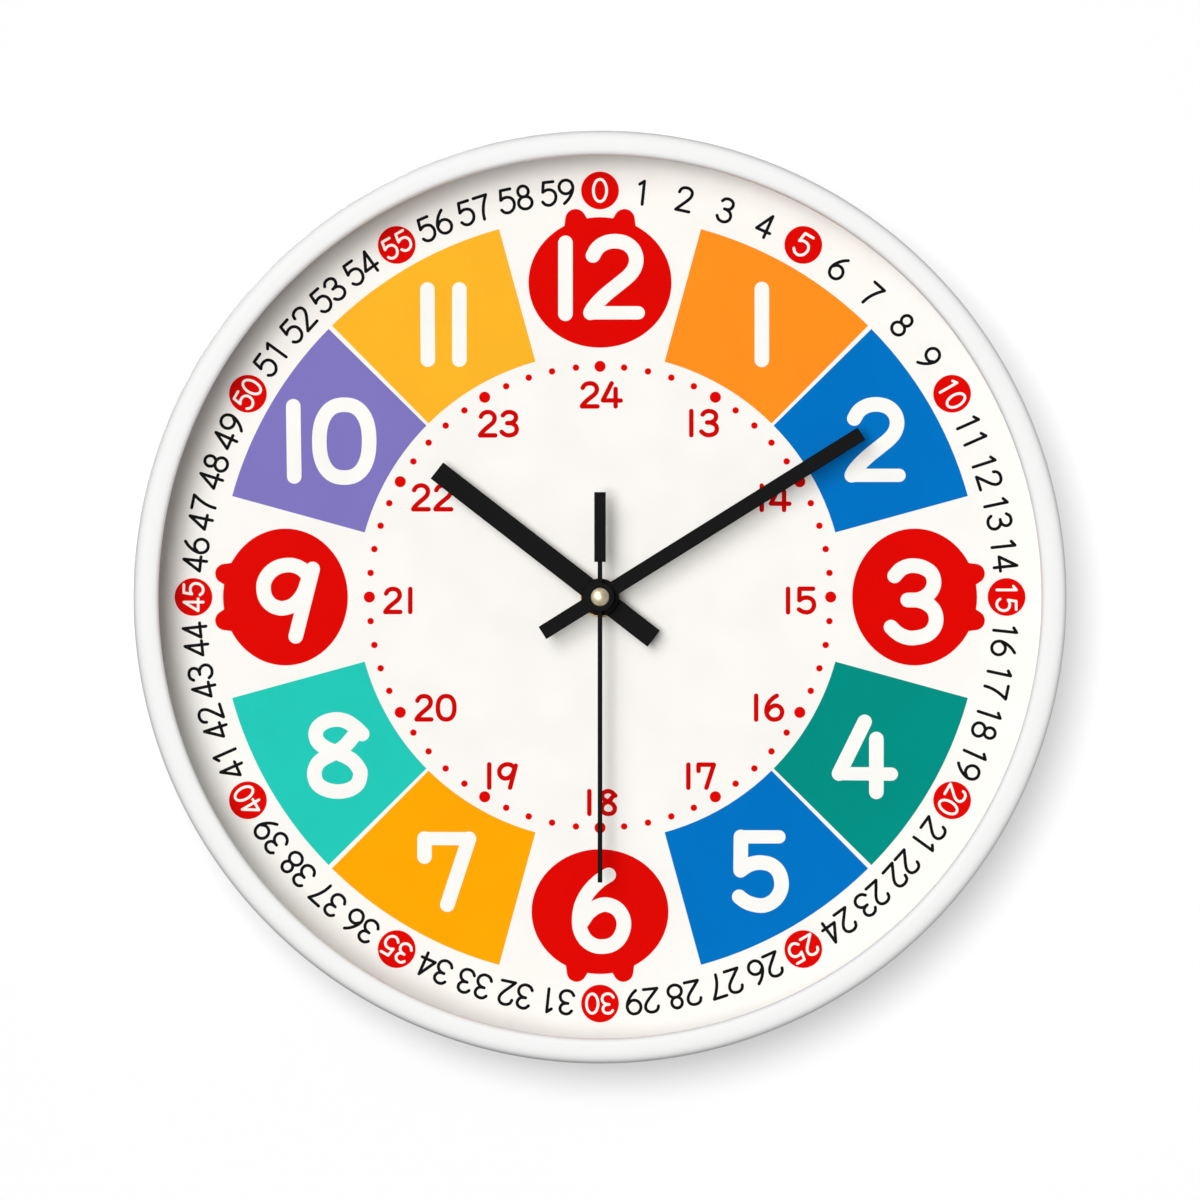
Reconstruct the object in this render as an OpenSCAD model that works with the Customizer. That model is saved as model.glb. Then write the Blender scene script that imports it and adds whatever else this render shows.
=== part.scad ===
// Teaching wall clock: a round moulded case, a printed dial under a flat lens,
// three hands and a battery movement with its whole gear train.
// All sizes are in millimetres.
// The wall is the plane y = 0, the dial faces -Y, 12 o'clock is up (+Z), and the
// hands turn about the Y axis. Every part is drawn lying on its back, with x to
// the right, y up the dial and z out of the wall, and in_place() stands it up.

/* [Case] */
// Outer radius of the case at its lip
case_r = 150; // [140:1:160]
// How much smaller the case is at the wall than at its lip
case_draft = 0.8; // [0.4:0.1:1.2]
// Wall of the case ring at its back edge
case_wall = 2.4; // [2.2:0.1:3]
// Width of the lip seen from the front
lip_w = 8; // [7.5:0.1:9]
// Radius of the lip's outer rounding
lip_outer_round = 5.2; // [4.4:0.1:5.6]
// Height of the lip above the lens
lip_h = 5; // [5:0.1:6]
// Depth of the relief groove moulded under the lip
lip_relief = 2.4; // [1.5:0.1:2.6]
// Thickness of the flat lens
lens_t = 2; // [1.5:0.1:3]
// Wall of the ring that keeps lens and dial apart
spacer_wall = 1.8; // [1.2:0.1:2]
// Gap round the lens, dial and back cover inside the case
seat_gap = 0.4; // [0.2:0.05:0.5]

/* [Back cover] */
// Thickness of the back cover's panel
cover_t = 2; // [1.5:0.1:3]
// Wall of the skirt round the back cover
skirt_wall = 1.8; // [1.4:0.1:2.2]
// Distance from the wall to the skirt's edge
skirt_inset = 2; // [1.5:0.1:3]
// Number of snap tongues round the skirt
snap_count = 8; // [6:1:12]
// Width of a snap tongue
snap_w = 16; // [12:0.5:20]
// Width of the slit at each side of a tongue
snap_slit = 1.4; // [1:0.1:2]
// Length of a tongue along the skirt
snap_l = 9; // [8:0.5:10]
// How far a barb stands out of the skirt
snap_barb = 1.1; // [0.9:0.05:1.2]
// Number of stiffening ribs
rib_count = 12; // [8:4:16]
// Thickness of a rib
rib_t = 1.6; // [1.2:0.1:2.4]
// Height of the ribs
rib_h = 5; // [3:0.5:7]
// Radius of the round rib that crosses the others
hoop_rib_r = 92; // [70:1:100]

/* [Hanger] */
// Distance from the keyhole's round entry up to the case's edge
keyhole_drop = 36; // [32:0.5:42]
// Radius of the round entry for the screw head
keyhole_r = 4.5; // [4:0.1:5]
// Width of the slot for the screw's shank
keyhole_slot_w = 4.6; // [3.6:0.1:5]
// Distance from the entry to the slot's end
keyhole_travel = 7; // [6:0.5:9]
// Width of the hanger plate
hanger_w = 54; // [48:1:60]
// Height of the hanger plate
hanger_h = 24; // [22:0.5:28]
// Thickness of the hanger plate
hanger_t = 1.2; // [1:0.1:1.6]
// Distance from the wall to the hanger plate
hanger_inset = 2.8; // [2.5:0.1:3.5]
// Distance between the two hanger screws
hanger_screw_span = 42; // [38:0.5:44]
// Radius of a hanger screw's shank
hanger_screw_r = 1.4; // [1.2:0.1:1.6]
// Length of a hanger screw under its head
hanger_screw_l = 9; // [7:0.5:10]
// Radius of the posts that the hanger plate is screwed to
hanger_post_r = 4; // [3:0.1:5]
// Distance that the web of a post reaches along the panel, each way
hanger_web_l = 12; // [8:0.5:13]

/* [Dial] */
// Thickness of the dial sheet
dial_t = 1; // [0.6:0.1:1.5]
// Thickness of a printed field, thicker than real ink
ink_t = 0.1; // [0.08:0.01:0.15]
// Distance from the spacer ring in to the middle of the minute numbers
minute_ring_margin = 13.3; // [11.6:0.1:13.6]
// Gap between the minute badges and the coloured hour fields
field_gap = 2; // [1.4:0.1:3]
// Length of an hour field along the radius
field_w = 44.4; // [42:0.2:46]
// Angle that one hour field covers
field_sweep = 29.3; // [26:0.1:29.4]
// Distance from the fields in to the middle of the dots
dot_margin = 4.3; // [3.8:0.1:8]
// Diameter of a dot at an hour
dot_hour_d = 3.6; // [3:0.1:4.5]
// Diameter of the dots between hours
dot_d = 2.1; // [1.4:0.1:2.5]
// Diameter of the round badge behind every fifth minute
badge_d = 12.2; // [9:0.1:13]
// Width of the badge behind 12
top_badge_w = 46.2; // [42:0.2:47]
// Width of the badges behind 3, 6 and 9
side_badge_w = 44.2; // [42:0.2:46]
// How far outside the middle of the fields the hour badges stand
hour_badge_shift = 0.6; // [0:0.1:1]

/* [Hands] */
// Length of the hour hand from its axis to its tip
hour_hand_l = 66.6; // [55:0.2:72]
// Width of the hour hand
hour_hand_w = 6.6; // [5:0.1:8]
// Length of the minute hand from its axis to its tip
minute_hand_l = 99.4; // [85:0.2:115]
// Width of the minute hand
minute_hand_w = 4.7; // [3.5:0.1:6]
// Length of the tails of the hour and minute hands
hand_tail = 21.9; // [15:0.1:26]
// Radius of the hour and minute hands' bosses
hand_boss_r = 6; // [5:0.1:7]
// Thickness of a hand
hand_t = 0.5; // [0.4:0.05:0.8]
// Length of the second hand from its axis to its tip
second_hand_l = 92; // [80:0.2:115]
// Width of the second hand's rod
second_hand_w = 1.5; // [1.2:0.1:2]
// Distance from the axis to the end of the counterweight
counter_l = 33.8; // [28:0.2:40]
// Distance from the axis to the start of the counterweight
counter_start = 11.3; // [8:0.1:14]
// Width of the counterweight
counter_w = 3.7; // [3:0.1:5]
// Radius of the second hand's boss
second_boss_r = 4.6; // [4.2:0.1:5]
// Radius of the domed cap
cap_r = 2.95; // [2.4:0.05:3.1]
// Height of the domed cap
cap_h = 1.6; // [1.2:0.1:1.8]
// Gap between hands that pass each other
hand_gap = 1.9; // [1.6:0.1:2.2]
// Where the hour hand points, in degrees clockwise from 12
hour_angle = 307.8; // [0:0.1:360]
// Where the minute hand points
minute_angle = 58; // [0:0.1:360]
// Where the second hand points
second_angle = 180; // [0:0.1:360]

/* [Movement] */
// Width and height of the movement
movement_w = 56; // [55.6:0.1:57]
// Thickness of the movement
movement_t = 16; // [16:0.1:17]
// Gap between the movement and the wall
back_gap = 0.6; // [0.5:0.1:1]
// Distance from the hands' axis to the movement's upper edge
axis_to_top = 19; // [19:0.1:19.6]
// Thickness of the movement's front and rear covers
shell_t = 1.4; // [1.2:0.05:1.5]
// Wall of the movement's sides
shell_wall = 1.4; // [1.2:0.05:1.4]
// Radius of the movement's corners
shell_round = 3; // [2:0.1:4]
// Radius of the threaded bush
bush_r = 4; // [3.9:0.1:4.5]
// Length of the bush in front of the movement
bush_l = 7.6; // [7:0.1:8]
// Thickness of the rubber washer
rubber_t = 1; // [0.8:0.1:1.5]
// Radius of the rubber washer
rubber_r = 11; // [9:0.5:14]
// Radius of the flat washer under the nut
washer_r = 6.6; // [6:0.1:7.5]
// Thickness of the flat washer
washer_t = 0.5; // [0.4:0.1:0.8]
// Width of the nut across its flats
nut_w = 10; // [9.6:0.1:11]
// Thickness of the nut
nut_t = 2; // [1.6:0.1:2.2]
// Radius of the hour wheel's pipe
hour_pipe_r = 2.5; // [2.45:0.05:2.7]
// Radius of the minute arbor
minute_arbor_r = 1.6; // [1.5:0.05:1.65]
// Radius of the seconds arbor
second_arbor_r = 0.5; // [0.4:0.05:0.6]
// Running clearance between a shaft and its hole
run_gap = 0.05; // [0.03:0.01:0.08]

/* [Gear train] */
// Thickness of a wheel
wheel_t = 0.7; // [0.5:0.05:0.8]
// Tooth module of the going train
going_module = 0.3; // [0.29:0.005:0.305]
// Tooth module of the minute wheel and what drives it
motion_module = 0.35; // [0.34:0.005:0.355]
// Part of the tooth pitch that a wheel's tooth fills
wheel_fill = 0.47; // [0.42:0.01:0.5]
// Part of the tooth pitch that a pinion's leaf fills
leaf_fill = 0.4; // [0.34:0.01:0.42]
// Height of a wheel's tooth outside its pitch circle, in modules
wheel_add = 1.15; // [0.9:0.05:1.2]
// Height of a pinion's leaf outside its pitch circle, in modules
leaf_add = 0.85; // [0.6:0.05:0.9]
// Radius of the pivots at the ends of the plastic arbors
pivot_r = 0.35; // [0.3:0.05:0.4]
// Direction of the fifth wheel from the hands' axis
fifth_dir = 150; // [146:1:154]
// Direction of the rotor from the fifth wheel
rotor_dir = 193; // [190:1:196]
// Direction of the third wheel from the hands' axis
third_dir = -30; // [-34:1:-28]
// Direction of the minute wheel from the hands' axis
minute_wheel_dir = 60; // [56:1:62]
// Direction of the setting stem from the minute wheel
setting_dir = 0; // [-4:1:6]
// Radius of the setting knob
knob_r = 6; // [5.4:0.1:6.2]

/* [Motor and battery] */
// Radius of the rotor's magnet
magnet_r = 3; // [2.6:0.1:3.1]
// Length of the magnet
magnet_l = 2; // [1.6:0.1:2.2]
// Radius of the coil's bobbin flanges
bobbin_r = 3.4; // [3:0.1:3.6]
// Length of the winding
winding_l = 12.4; // [11:0.2:12.4]
// Radius of the AA cell
cell_r = 7.2; // [7:0.05:7.25]
// Length of the AA cell with its stud
cell_l = 50.2; // [49.5:0.1:50.5]
// Thickness of the battery contacts
contact_t = 0.4; // [0.3:0.05:0.5]

/* [Hidden] */
$fn = 96;
// A small length by which a cut runs past the face that it opens
past = 1;
// Steps in each of the lip's two roundings
lip_steps = 12;

// Gap round a part that is clamped, round the washers, and beside the snap barbs
clamp_gap = 0.2;
washer_gap = 0.1;
groove_gap = 0.2;
// Gaps at the lower and upper end of an arbor, and under a pivot's end
foot_gap = 0.1;
end_play = 0.2;
// Gap between a hand's collar and the pipe under it, the collar's wall, and how far
// a pipe stands out of its hand
collar_gap = 0.3;
collar_wall = 0.9;
pipe_proud = 0.4;

// Levels from the wall outwards
movement_face = back_gap + movement_t;
cover_back = movement_face + rubber_t;
dial_back = cover_back + cover_t;
dial_face = dial_back + dial_t;
bush_top = movement_face + bush_l;
hour_hand_z = bush_top + collar_gap + 0.4;
minute_hand_z = hour_hand_z + hand_t + hand_gap;
second_hand_z = minute_hand_z + hand_t + hand_gap;
second_boss_t = 0.8;
cap_base = second_hand_z + second_boss_t;
lens_back = cap_base + cap_h + 3;
hour_pipe_end = hour_hand_z + hand_t + pipe_proud;
minute_pipe_end = minute_hand_z + hand_t + pipe_proud;
lens_face = lens_back + lens_t;
case_depth = lens_face + lip_h;

// Radii inside the case
bore_r = case_r - case_draft - case_wall;
seat_r = bore_r - seat_gap;
aperture_r = case_r - lip_w;
skirt_in_r = seat_r - skirt_wall;
keyhole_y = case_r - keyhole_drop;

// Radii on the dial, each from the one outside it
minute_ring_r = seat_r - spacer_wall - minute_ring_margin;
field_out_r = minute_ring_r - badge_d / 2 - field_gap;
field_in_r = field_out_r - field_w;
hour_badge_r = (field_in_r + field_out_r) / 2 + hour_badge_shift;
dot_ring_r = field_in_r - dot_margin;

// Levels inside the movement
floor_z = back_gap + shell_t;
ceiling_z = movement_face - shell_t;
fifth_z = floor_z + 0.5;
seconds_z = fifth_z + wheel_t + 0.5;
third_z = seconds_z + wheel_t + 0.6;
centre_z = third_z + wheel_t + 0.8;
plate_z = centre_z + wheel_t + 0.7;
plate_t = 0.8;
plate_top = plate_z + plate_t;
minute_wheel_z = plate_top + 0.7;
hour_wheel_z = minute_wheel_z + wheel_t + 1.2;
hour_boss_z = hour_wheel_z + wheel_t + 0.3;
pivot_end = back_gap + 0.5;
boss_top = floor_z + 0.3;
clutch_t = 0.3;
clutch_top = centre_z + wheel_t + clutch_t;

// Teeth, where the train is worked out from the centre distances
seconds_teeth = 60;
seconds_leaves = 8;
fifth_teeth = 40;
fifth_leaves = 10;
rotor_leaves = 8;
third_teeth = 60;
third_leaves = 8;
centre_teeth = 64;
cannon_leaves = 12;
minute_teeth = 36;
minute_leaves = 10;
hour_teeth = 40;
root_gap = 0.25;

third_dist = going_module * (seconds_leaves + third_teeth) / 2;
centre_module = 2 * third_dist / (third_leaves + centre_teeth);
fifth_dist = going_module * (seconds_teeth + fifth_leaves) / 2;
rotor_dist = going_module * (fifth_teeth + rotor_leaves) / 2;
minute_dist = motion_module * (cannon_leaves + minute_teeth) / 2;
hour_module = 2 * minute_dist / (minute_leaves + hour_teeth);

function polar(r, a) = [r * cos(a), r * sin(a)];
third_at = polar(third_dist, third_dir);
fifth_at = polar(fifth_dist, fifth_dir);
rotor_at = fifth_at + polar(rotor_dist, rotor_dir);
minute_at = polar(minute_dist, minute_wheel_dir);
setting_at = minute_at + polar(minute_dist, setting_dir);

// A gear B stands in direction dir from gear A, which has a tooth at angle a_phase.
// This is the angle of a tooth of B that makes the two mesh.
function mesh_phase(a_teeth, a_phase, dir, b_teeth) =
    dir + 180 - 360 / b_teeth * (0.5 - a_teeth * (dir - a_phase) / 360);

fifth_pinion_phase = mesh_phase(seconds_teeth, 0, fifth_dir, fifth_leaves);
rotor_phase = mesh_phase(fifth_teeth, 0, rotor_dir, rotor_leaves);
third_phase = mesh_phase(seconds_leaves, 0, third_dir, third_teeth);
centre_phase = mesh_phase(third_leaves, 0, third_dir + 180, centre_teeth);
minute_phase = mesh_phase(cannon_leaves, 0, minute_wheel_dir, minute_teeth);
hour_phase = mesh_phase(minute_leaves, 0, minute_wheel_dir + 180, hour_teeth);
setting_phase = mesh_phase(minute_teeth, minute_phase, setting_dir, cannon_leaves);

// The angle that an epicycloid has turned through where it reaches radius r, for a
// roller of radius roller_r on a pitch circle of radius pitch_r
function roll_angle(r, pitch_r, roller_r) =
    let (
        arm = pitch_r + roller_r,
        turn = acos(min(1, (arm * arm + roller_r * roller_r - r * r) / (2 * roller_r * arm))),
        along = turn * roller_r / pitch_r
    )
    atan2(
        arm * sin(along) - roller_r * sin(along + turn),
        arm * cos(along) - roller_r * cos(along + turn)
    );

// Inside the case and the movement
movement_mid_y = axis_to_top - movement_w / 2;
inner_x = movement_w / 2 - shell_wall;
inner_top = axis_to_top - shell_wall;
bay_wall_y = -19;
bay_wall_t = 1.2;
bay_top = bay_wall_y - bay_wall_t;
bay_bottom = axis_to_top - movement_w + 1.1;
bay_ceiling = movement_face - 1;
cell_y = (bay_top + bay_bottom) / 2;
cell_z = back_gap + 0.25 + cell_r;
cell_plus_x = inner_x - contact_t - 0.1;
cell_minus_x = cell_plus_x - cell_l;

// The coil stands upright at the left, and the stator links its core's two ends
coil_x = -22.5;
coil_z = 5.9;
core_w = 3;
core_t = 0.6;
core_low_y = -17.1;
core_high_y = 5.6;
winding_low_y = -14.4;
bobbin_flange = 0.8;
bobbin_tube_r = core_w / 2 + 0.45;
stator_z = coil_z + core_t / 2;
stator_t = 0.6;
magnet_z = stator_z + stator_t / 2 - magnet_l / 2;
stator_strip = [-18.6, -14];
stake_r = 0.7;
right_post_x = inner_x - 4.6;
left_post_x = 2.6 - inner_x;
plate_posts = [
    [right_post_x, inner_top - 2.8], [left_post_x, inner_top - 2.6],
    [right_post_x, -15.5], [-11.5, -15.5]
];
post_r = 1.6;
spigot_r = 0.8;
stem_r = 1.2;
arbor_r = 0.8;
thin_arbor_r = 0.5;
boss_r = 1.4;
// Radii of the minute arbor where it carries the centre wheel and runs in the plate
clutch_seat_r = minute_arbor_r - 0.6;
plate_seat_r = minute_arbor_r - 0.1;
knob_t = 1.5;
well_r = knob_r + 0.5;
well_wall = 1;
well_floor_z = floor_z + 0.4;
well_floor_t = 0.8;
board_gap = 0.4;
board_w = 22;
board_h = 7.8;
board_x = board_gap - inner_x;
board_y = inner_top - board_gap - board_h;
board_t = 0.8;
board_top = plate_top + board_t;
crystal_at = [board_x + 9.2, board_y + 6];
chip_at = [board_x + 15.2, board_y + 2.8];
tail_plus_z = board_top + 2;
tail_minus_z = board_top;
tail_h = 1.6;
contact_low_y = bay_bottom + 0.6;
contact_high_y = bay_top - 0.6;
contact_low_z = floor_z + 0.8;
contact_high_z = bay_ceiling - 0.8;

snap_z = skirt_inset + 2.2;
snap_h = 2.4;
groove_depth = snap_barb - seat_gap + groove_gap;
hanger_screws_at = [for (x = [-1, 1]) [x * hanger_screw_span / 2, keyhole_y + 2]];

module in_place() { rotate([90, 0, 0]) children(); }

module at(p, z = 0) { translate([p[0], p[1], z]) children(); }

// A box from two opposite corners
module block(low, high) { translate(low) cube(high - low); }

module disc(r, z0, z1) { translate([0, 0, z0]) cylinder(r = r, h = z1 - z0); }

module ring(r_out, r_in, z0, z1) {
    difference() {
        disc(r_out, z0, z1);
        disc(r_in, z0 - past, z1 + past);
    }
}

module rounded_rect(w, h, r) {
    square([w - 2 * r, h], center = true);
    square([w, h - 2 * r], center = true);
    for (x = [-1, 1], y = [-1, 1])
        translate([x * (w / 2 - r), y * (h / 2 - r)]) circle(r, $fn = 32);
}

// A clock gear's outline: radial flanks inside the pitch circle, and outside it the
// epicycloid that runs on the mate's radial flanks
module gear(teeth, mate_teeth, tooth_module, phase, fill, add, mate_add, z0, z1) {
    pitch_r = teeth * tooth_module / 2;
    roller_r = mate_teeth * tooth_module / 4;
    root_r = pitch_r - (mate_add + root_gap) * tooth_module;
    half = fill * 180 / teeth;
    flank = [
        [root_r, 0],
        for (k = [0, 0.5, 1])
            let (r = pitch_r + k * add * tooth_module) [r, roll_angle(r, pitch_r, roller_r)]
    ];
    points = [
        for (i = [0 : teeth - 1])
            let (middle = phase + i * 360 / teeth)
            each concat(
                [for (p = flank) polar(p[0], middle - half + p[1])],
                [for (k = [3 : -1 : 0]) polar(flank[k][0], middle + half - flank[k][1])]
            )
    ];
    translate([0, 0, z0]) linear_extrude(z1 - z0) polygon(points);
}

module wheel_teeth(teeth, mate_teeth, tooth_module, phase, z) {
    gear(teeth, mate_teeth, tooth_module, phase, wheel_fill, wheel_add, leaf_add, z, z + wheel_t);
}

module pinion_leaves(leaves, mate_teeth, tooth_module, phase, z0, z1) {
    gear(leaves, mate_teeth, tooth_module, phase, leaf_fill, leaf_add, wheel_add, z0, z1);
}

// Round windows in a wheel's web
module web_holes(count, r, hole_r, z) {
    for (i = [0 : count - 1])
        at(polar(r, (i + 0.5) * 360 / count), z - past)
            cylinder(r = hole_r, h = wheel_t + 2 * past, $fn = 32);
}

// Case and lens

// Points along a quarter of a circle, from angle a0 to angle a1
function quarter(centre, r, a0, a1) =
    [for (k = [0 : lip_steps]) centre + polar(r, a0 + (a1 - a0) * k / lip_steps)];

module case_profile() {
    inner_round = lip_w - lip_outer_round;
    outer_at = [case_r - lip_outer_round, case_depth - lip_outer_round];
    inner_at = [aperture_r + inner_round, case_depth - inner_round];
    difference() {
        polygon(concat(
            [[case_r - case_draft, 0]],
            quarter(outer_at, lip_outer_round, 0, 90),
            quarter(inner_at, inner_round, 90 + 90 / lip_steps, 180),
            [[aperture_r, lens_face], [bore_r, lens_face], [bore_r, 0]]
        ));
        // Relief under the lip
        translate([bore_r - lip_relief, lens_face - past]) square([lip_relief, lip_relief + past]);
        // Groove for the back cover's barbs
        translate([bore_r - past, snap_z - groove_gap])
            square([groove_depth + past, snap_h + 2 * groove_gap]);
    }
}

module case_ring() {
    color([0.96, 0.96, 0.95]) in_place() rotate_extrude($fn = 180) case_profile();
}

module lens() {
    color([0.85, 0.92, 0.95, 0.35]) in_place() disc(seat_r, lens_back, lens_face);
}

module spacer_ring() {
    color([0.93, 0.93, 0.92]) in_place() ring(seat_r, seat_r - spacer_wall, dial_face, lens_back);
}

// Dial and its print

module dial() {
    color([0.97, 0.96, 0.94]) in_place() ring(seat_r, bush_r + clamp_gap, dial_back, dial_face);
}

module printed() {
    in_place() translate([0, 0, dial_face]) linear_extrude(ink_t) children();
}

// The coloured field of one hour. The fields stand in four pairs, so hours 1, 4, 7
// and 10 end where their pair parts, and 2, 5, 8 and 11 start there.
module hour_field(hour) {
    parting = 90 * floor(hour / 3) + 45;
    margin = 15 - field_sweep / 2;
    side = hour % 3 == 1 ? -1 : 1;
    middle = 90 - (parting + side * (margin + field_sweep / 2));
    rotate(middle - field_sweep / 2)
        difference() {
            intersection() {
                circle(field_out_r, $fn = 180);
                polygon([
                    [0, 0],
                    polar(2 * field_out_r, 0),
                    polar(2 * field_out_r, field_sweep)
                ]);
            }
            circle(field_in_r, $fn = 180);
        }
}

module hour_print(hours, paint) {
    color(paint) printed() for (hour = hours) hour_field(hour);
}

module print_orange() { hour_print([1], [0.99, 0.56, 0.12]); }
module print_amber() { hour_print([7], [0.99, 0.65, 0.01]); }
module print_yellow() { hour_print([11], [0.99, 0.71, 0.16]); }
module print_blue() { hour_print([2, 5], [0, 0.45, 0.76]); }
module print_green() { hour_print([4], [0.01, 0.56, 0.51]); }
module print_turquoise() { hour_print([8], [0.14, 0.78, 0.72]); }
module print_purple() { hour_print([10], [0.5, 0.46, 0.75]); }

// A rounded bump on a badge's outer edge: a circle with a straight flank to each foot
module badge_lug(centre, r, feet) {
    translate(centre) circle(r, $fn = 48);
    polygon([
        for (i = [0, 1])
            let (
                reach = feet[i] - centre,
                away = atan2(reach[1], reach[0]),
                open = acos(r / norm(reach)),
                touch = centre + polar(r, away + (i == 0 ? -open : open))
            )
            each i == 0 ? [feet[i], touch] : [touch, feet[i]],
        centre * 0.7
    ]);
}

// The badge behind an hour that is a quarter: an oval with two lugs that point outwards.
// Its other sizes are shares of its half width.
module hour_badge(width) {
    half_w = width / 2;
    half_h = 0.912 * half_w;
    lug_at = half_w * [-0.342, 0.883];
    lug_r = 0.143 * half_w;
    feet = [half_w * [-0.498, 0.792], half_w * [-0.182, 0.896]];
    polygon([for (a = [0 : 5 : 355]) [half_w * cos(a), half_h * sin(a)]]);
    for (side = [0, 1]) mirror([side, 0]) badge_lug(lug_at, lug_r, feet);
}

module print_red() {
    color([0.88, 0.04, 0.02]) printed() {
        for (quarter = [0 : 3])
            rotate(-90 * quarter) translate([0, hour_badge_r])
                hour_badge(quarter == 0 ? top_badge_w : side_badge_w);
        for (i = [0 : 59])
            rotate(-6 * i) translate([0, dot_ring_r])
                circle(d = i % 5 == 0 ? dot_hour_d : dot_d, $fn = 32);
        for (i = [0 : 11])
            rotate(-30 * i) translate([0, minute_ring_r]) circle(d = badge_d, $fn = 48);
    }
}

// Back cover: one moulding, drawn as the panel with its ribs, the skirt and two posts

module snap_slits() {
    for (i = [0 : snap_count - 1], side = [-1, 1])
        rotate((i + 0.5) * 360 / snap_count)
            translate([skirt_in_r - past, side * (snap_w + snap_slit) / 2 - snap_slit / 2,
                       skirt_inset - past])
                cube([skirt_wall + 2 * past, snap_slit, snap_l + past]);
}

module snap_barbs() {
    barb_w = snap_w - 4;
    root_r = seat_r - 0.4;
    tip_h = 0.5;
    sweep = barb_w / seat_r * 180 / PI;
    for (i = [0 : snap_count - 1])
        rotate((i + 0.5) * 360 / snap_count - sweep / 2)
            rotate_extrude(angle = sweep, $fn = 180)
                polygon([
                    [root_r, snap_z],
                    [seat_r + snap_barb, snap_z],
                    [seat_r + snap_barb, snap_z + tip_h],
                    [seat_r, snap_z + snap_h],
                    [root_r, snap_z + snap_h]
                ]);
}

module back_cover() {
    frame_gap = 0.4;
    // The ribs stop short of the skirt, which has to give way at its tongues
    rib_end_gap = 0.3;
    frame_w = movement_w + 2 * frame_gap;
    color([0.92, 0.92, 0.91]) in_place() difference() {
        union() {
            disc(seat_r, cover_back, dial_back);
            difference() {
                union() {
                    for (i = [0 : rib_count - 1])
                        rotate((i + 0.5) * 360 / rib_count)
                            block([movement_w / 2, -rib_t / 2, cover_back - rib_h],
                                  [skirt_in_r - rib_end_gap, rib_t / 2, cover_back + past / 2]);
                    ring(hoop_rib_r + rib_t / 2, hoop_rib_r - rib_t / 2,
                         cover_back - rib_h, cover_back + past / 2);
                    translate([0, movement_mid_y, cover_back - rib_h])
                        linear_extrude(rib_h + past / 2)
                            rounded_rect(frame_w + 2 * rib_t, frame_w + 2 * rib_t,
                                         shell_round + frame_gap + rib_t);
                }
                translate([0, movement_mid_y, cover_back - rib_h - past])
                    linear_extrude(rib_h + past)
                        rounded_rect(frame_w, frame_w, shell_round + frame_gap);
            }
        }
        disc(bush_r + clamp_gap, cover_back - past, dial_back + past);
    }
}

module back_skirt() {
    color([0.92, 0.92, 0.91]) in_place() {
        difference() {
            ring(seat_r, skirt_in_r, skirt_inset, cover_back);
            snap_slits();
        }
        snap_barbs();
    }
}

// Two posts behind the panel that carry the hanger plate
module hanger_posts() {
    color([0.92, 0.92, 0.91]) in_place()
        for (p = hanger_screws_at)
            at(p) difference() {
                union() {
                    disc(hanger_post_r, hanger_inset + hanger_t, cover_back);
                    block([-rib_t / 2, -hanger_web_l, cover_back - rib_h],
                          [rib_t / 2, hanger_web_l, cover_back]);
                }
                disc(hanger_screw_r, hanger_inset, hanger_inset + hanger_t + hanger_screw_l);
            }
}

module hanger_plate() {
    slot_r = keyhole_slot_w / 2;
    corner_r = 3;
    color([0.72, 0.73, 0.75]) in_place() difference() {
        translate([0, keyhole_y + 2, hanger_inset])
            linear_extrude(hanger_t) rounded_rect(hanger_w, hanger_h, corner_r);
        at([0, keyhole_y]) disc(keyhole_r, hanger_inset - past, hanger_inset + hanger_t + past);
        at([0, keyhole_y + keyhole_travel])
            disc(slot_r, hanger_inset - past, hanger_inset + hanger_t + past);
        block([-slot_r, keyhole_y, hanger_inset - past],
              [slot_r, keyhole_y + keyhole_travel, hanger_inset + hanger_t + past]);
        for (p = hanger_screws_at)
            at(p) disc(hanger_screw_r + clamp_gap, hanger_inset - past,
                       hanger_inset + hanger_t + past);
    }
}

module hanger_screws() {
    head_h = 1.6;
    recess = [3, 0.6, 0.9];
    color([0.75, 0.76, 0.78]) in_place()
        for (p = hanger_screws_at)
            at(p, hanger_inset) difference() {
                union() {
                    disc(hanger_screw_r, -head_h / 2, hanger_screw_l);
                    disc(2 * hanger_screw_r, -head_h, 0);
                }
                // Cross recess
                for (turn = [0, 90])
                    rotate(turn) block([-recess[0] / 2, -recess[1] / 2, -head_h - past],
                                       [recess[0] / 2, recess[1] / 2, -head_h + recess[2]]);
            }
}

// Washers and nut that clamp the movement to the dial

module rubber_washer() {
    color([0.08, 0.08, 0.08]) in_place() ring(rubber_r, bush_r + washer_gap, movement_face, cover_back);
}

module flat_washer() {
    color([0.83, 0.66, 0.36]) in_place()
        ring(washer_r, bush_r + washer_gap, dial_face, dial_face + washer_t);
}

module hex_nut() {
    z = dial_face + washer_t;
    color([0.83, 0.66, 0.36]) in_place() difference() {
        translate([0, 0, z]) cylinder(r = nut_w / 2 / cos(30), h = nut_t, $fn = 6);
        disc(bush_r, z - past, z + nut_t + past);
    }
}

// Hands, drawn pointing to 12 and turned clockwise

module pointing(angle) { in_place() rotate(-angle) children(); }

module flat_hand(length, width, tail, boss_r, z) {
    block([-width / 2, -tail, z], [width / 2, length, z + hand_t]);
    disc(boss_r, z, z + hand_t);
}

module hour_hand() {
    color([0.1, 0.1, 0.1]) pointing(hour_angle) difference() {
        union() {
            flat_hand(hour_hand_l, hour_hand_w, hand_tail, hand_boss_r, hour_hand_z);
            disc(hour_pipe_r + collar_wall, bush_top + collar_gap, hour_hand_z + hand_t);
        }
        disc(hour_pipe_r, bush_top, hour_hand_z + hand_t + past);
    }
}

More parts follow.
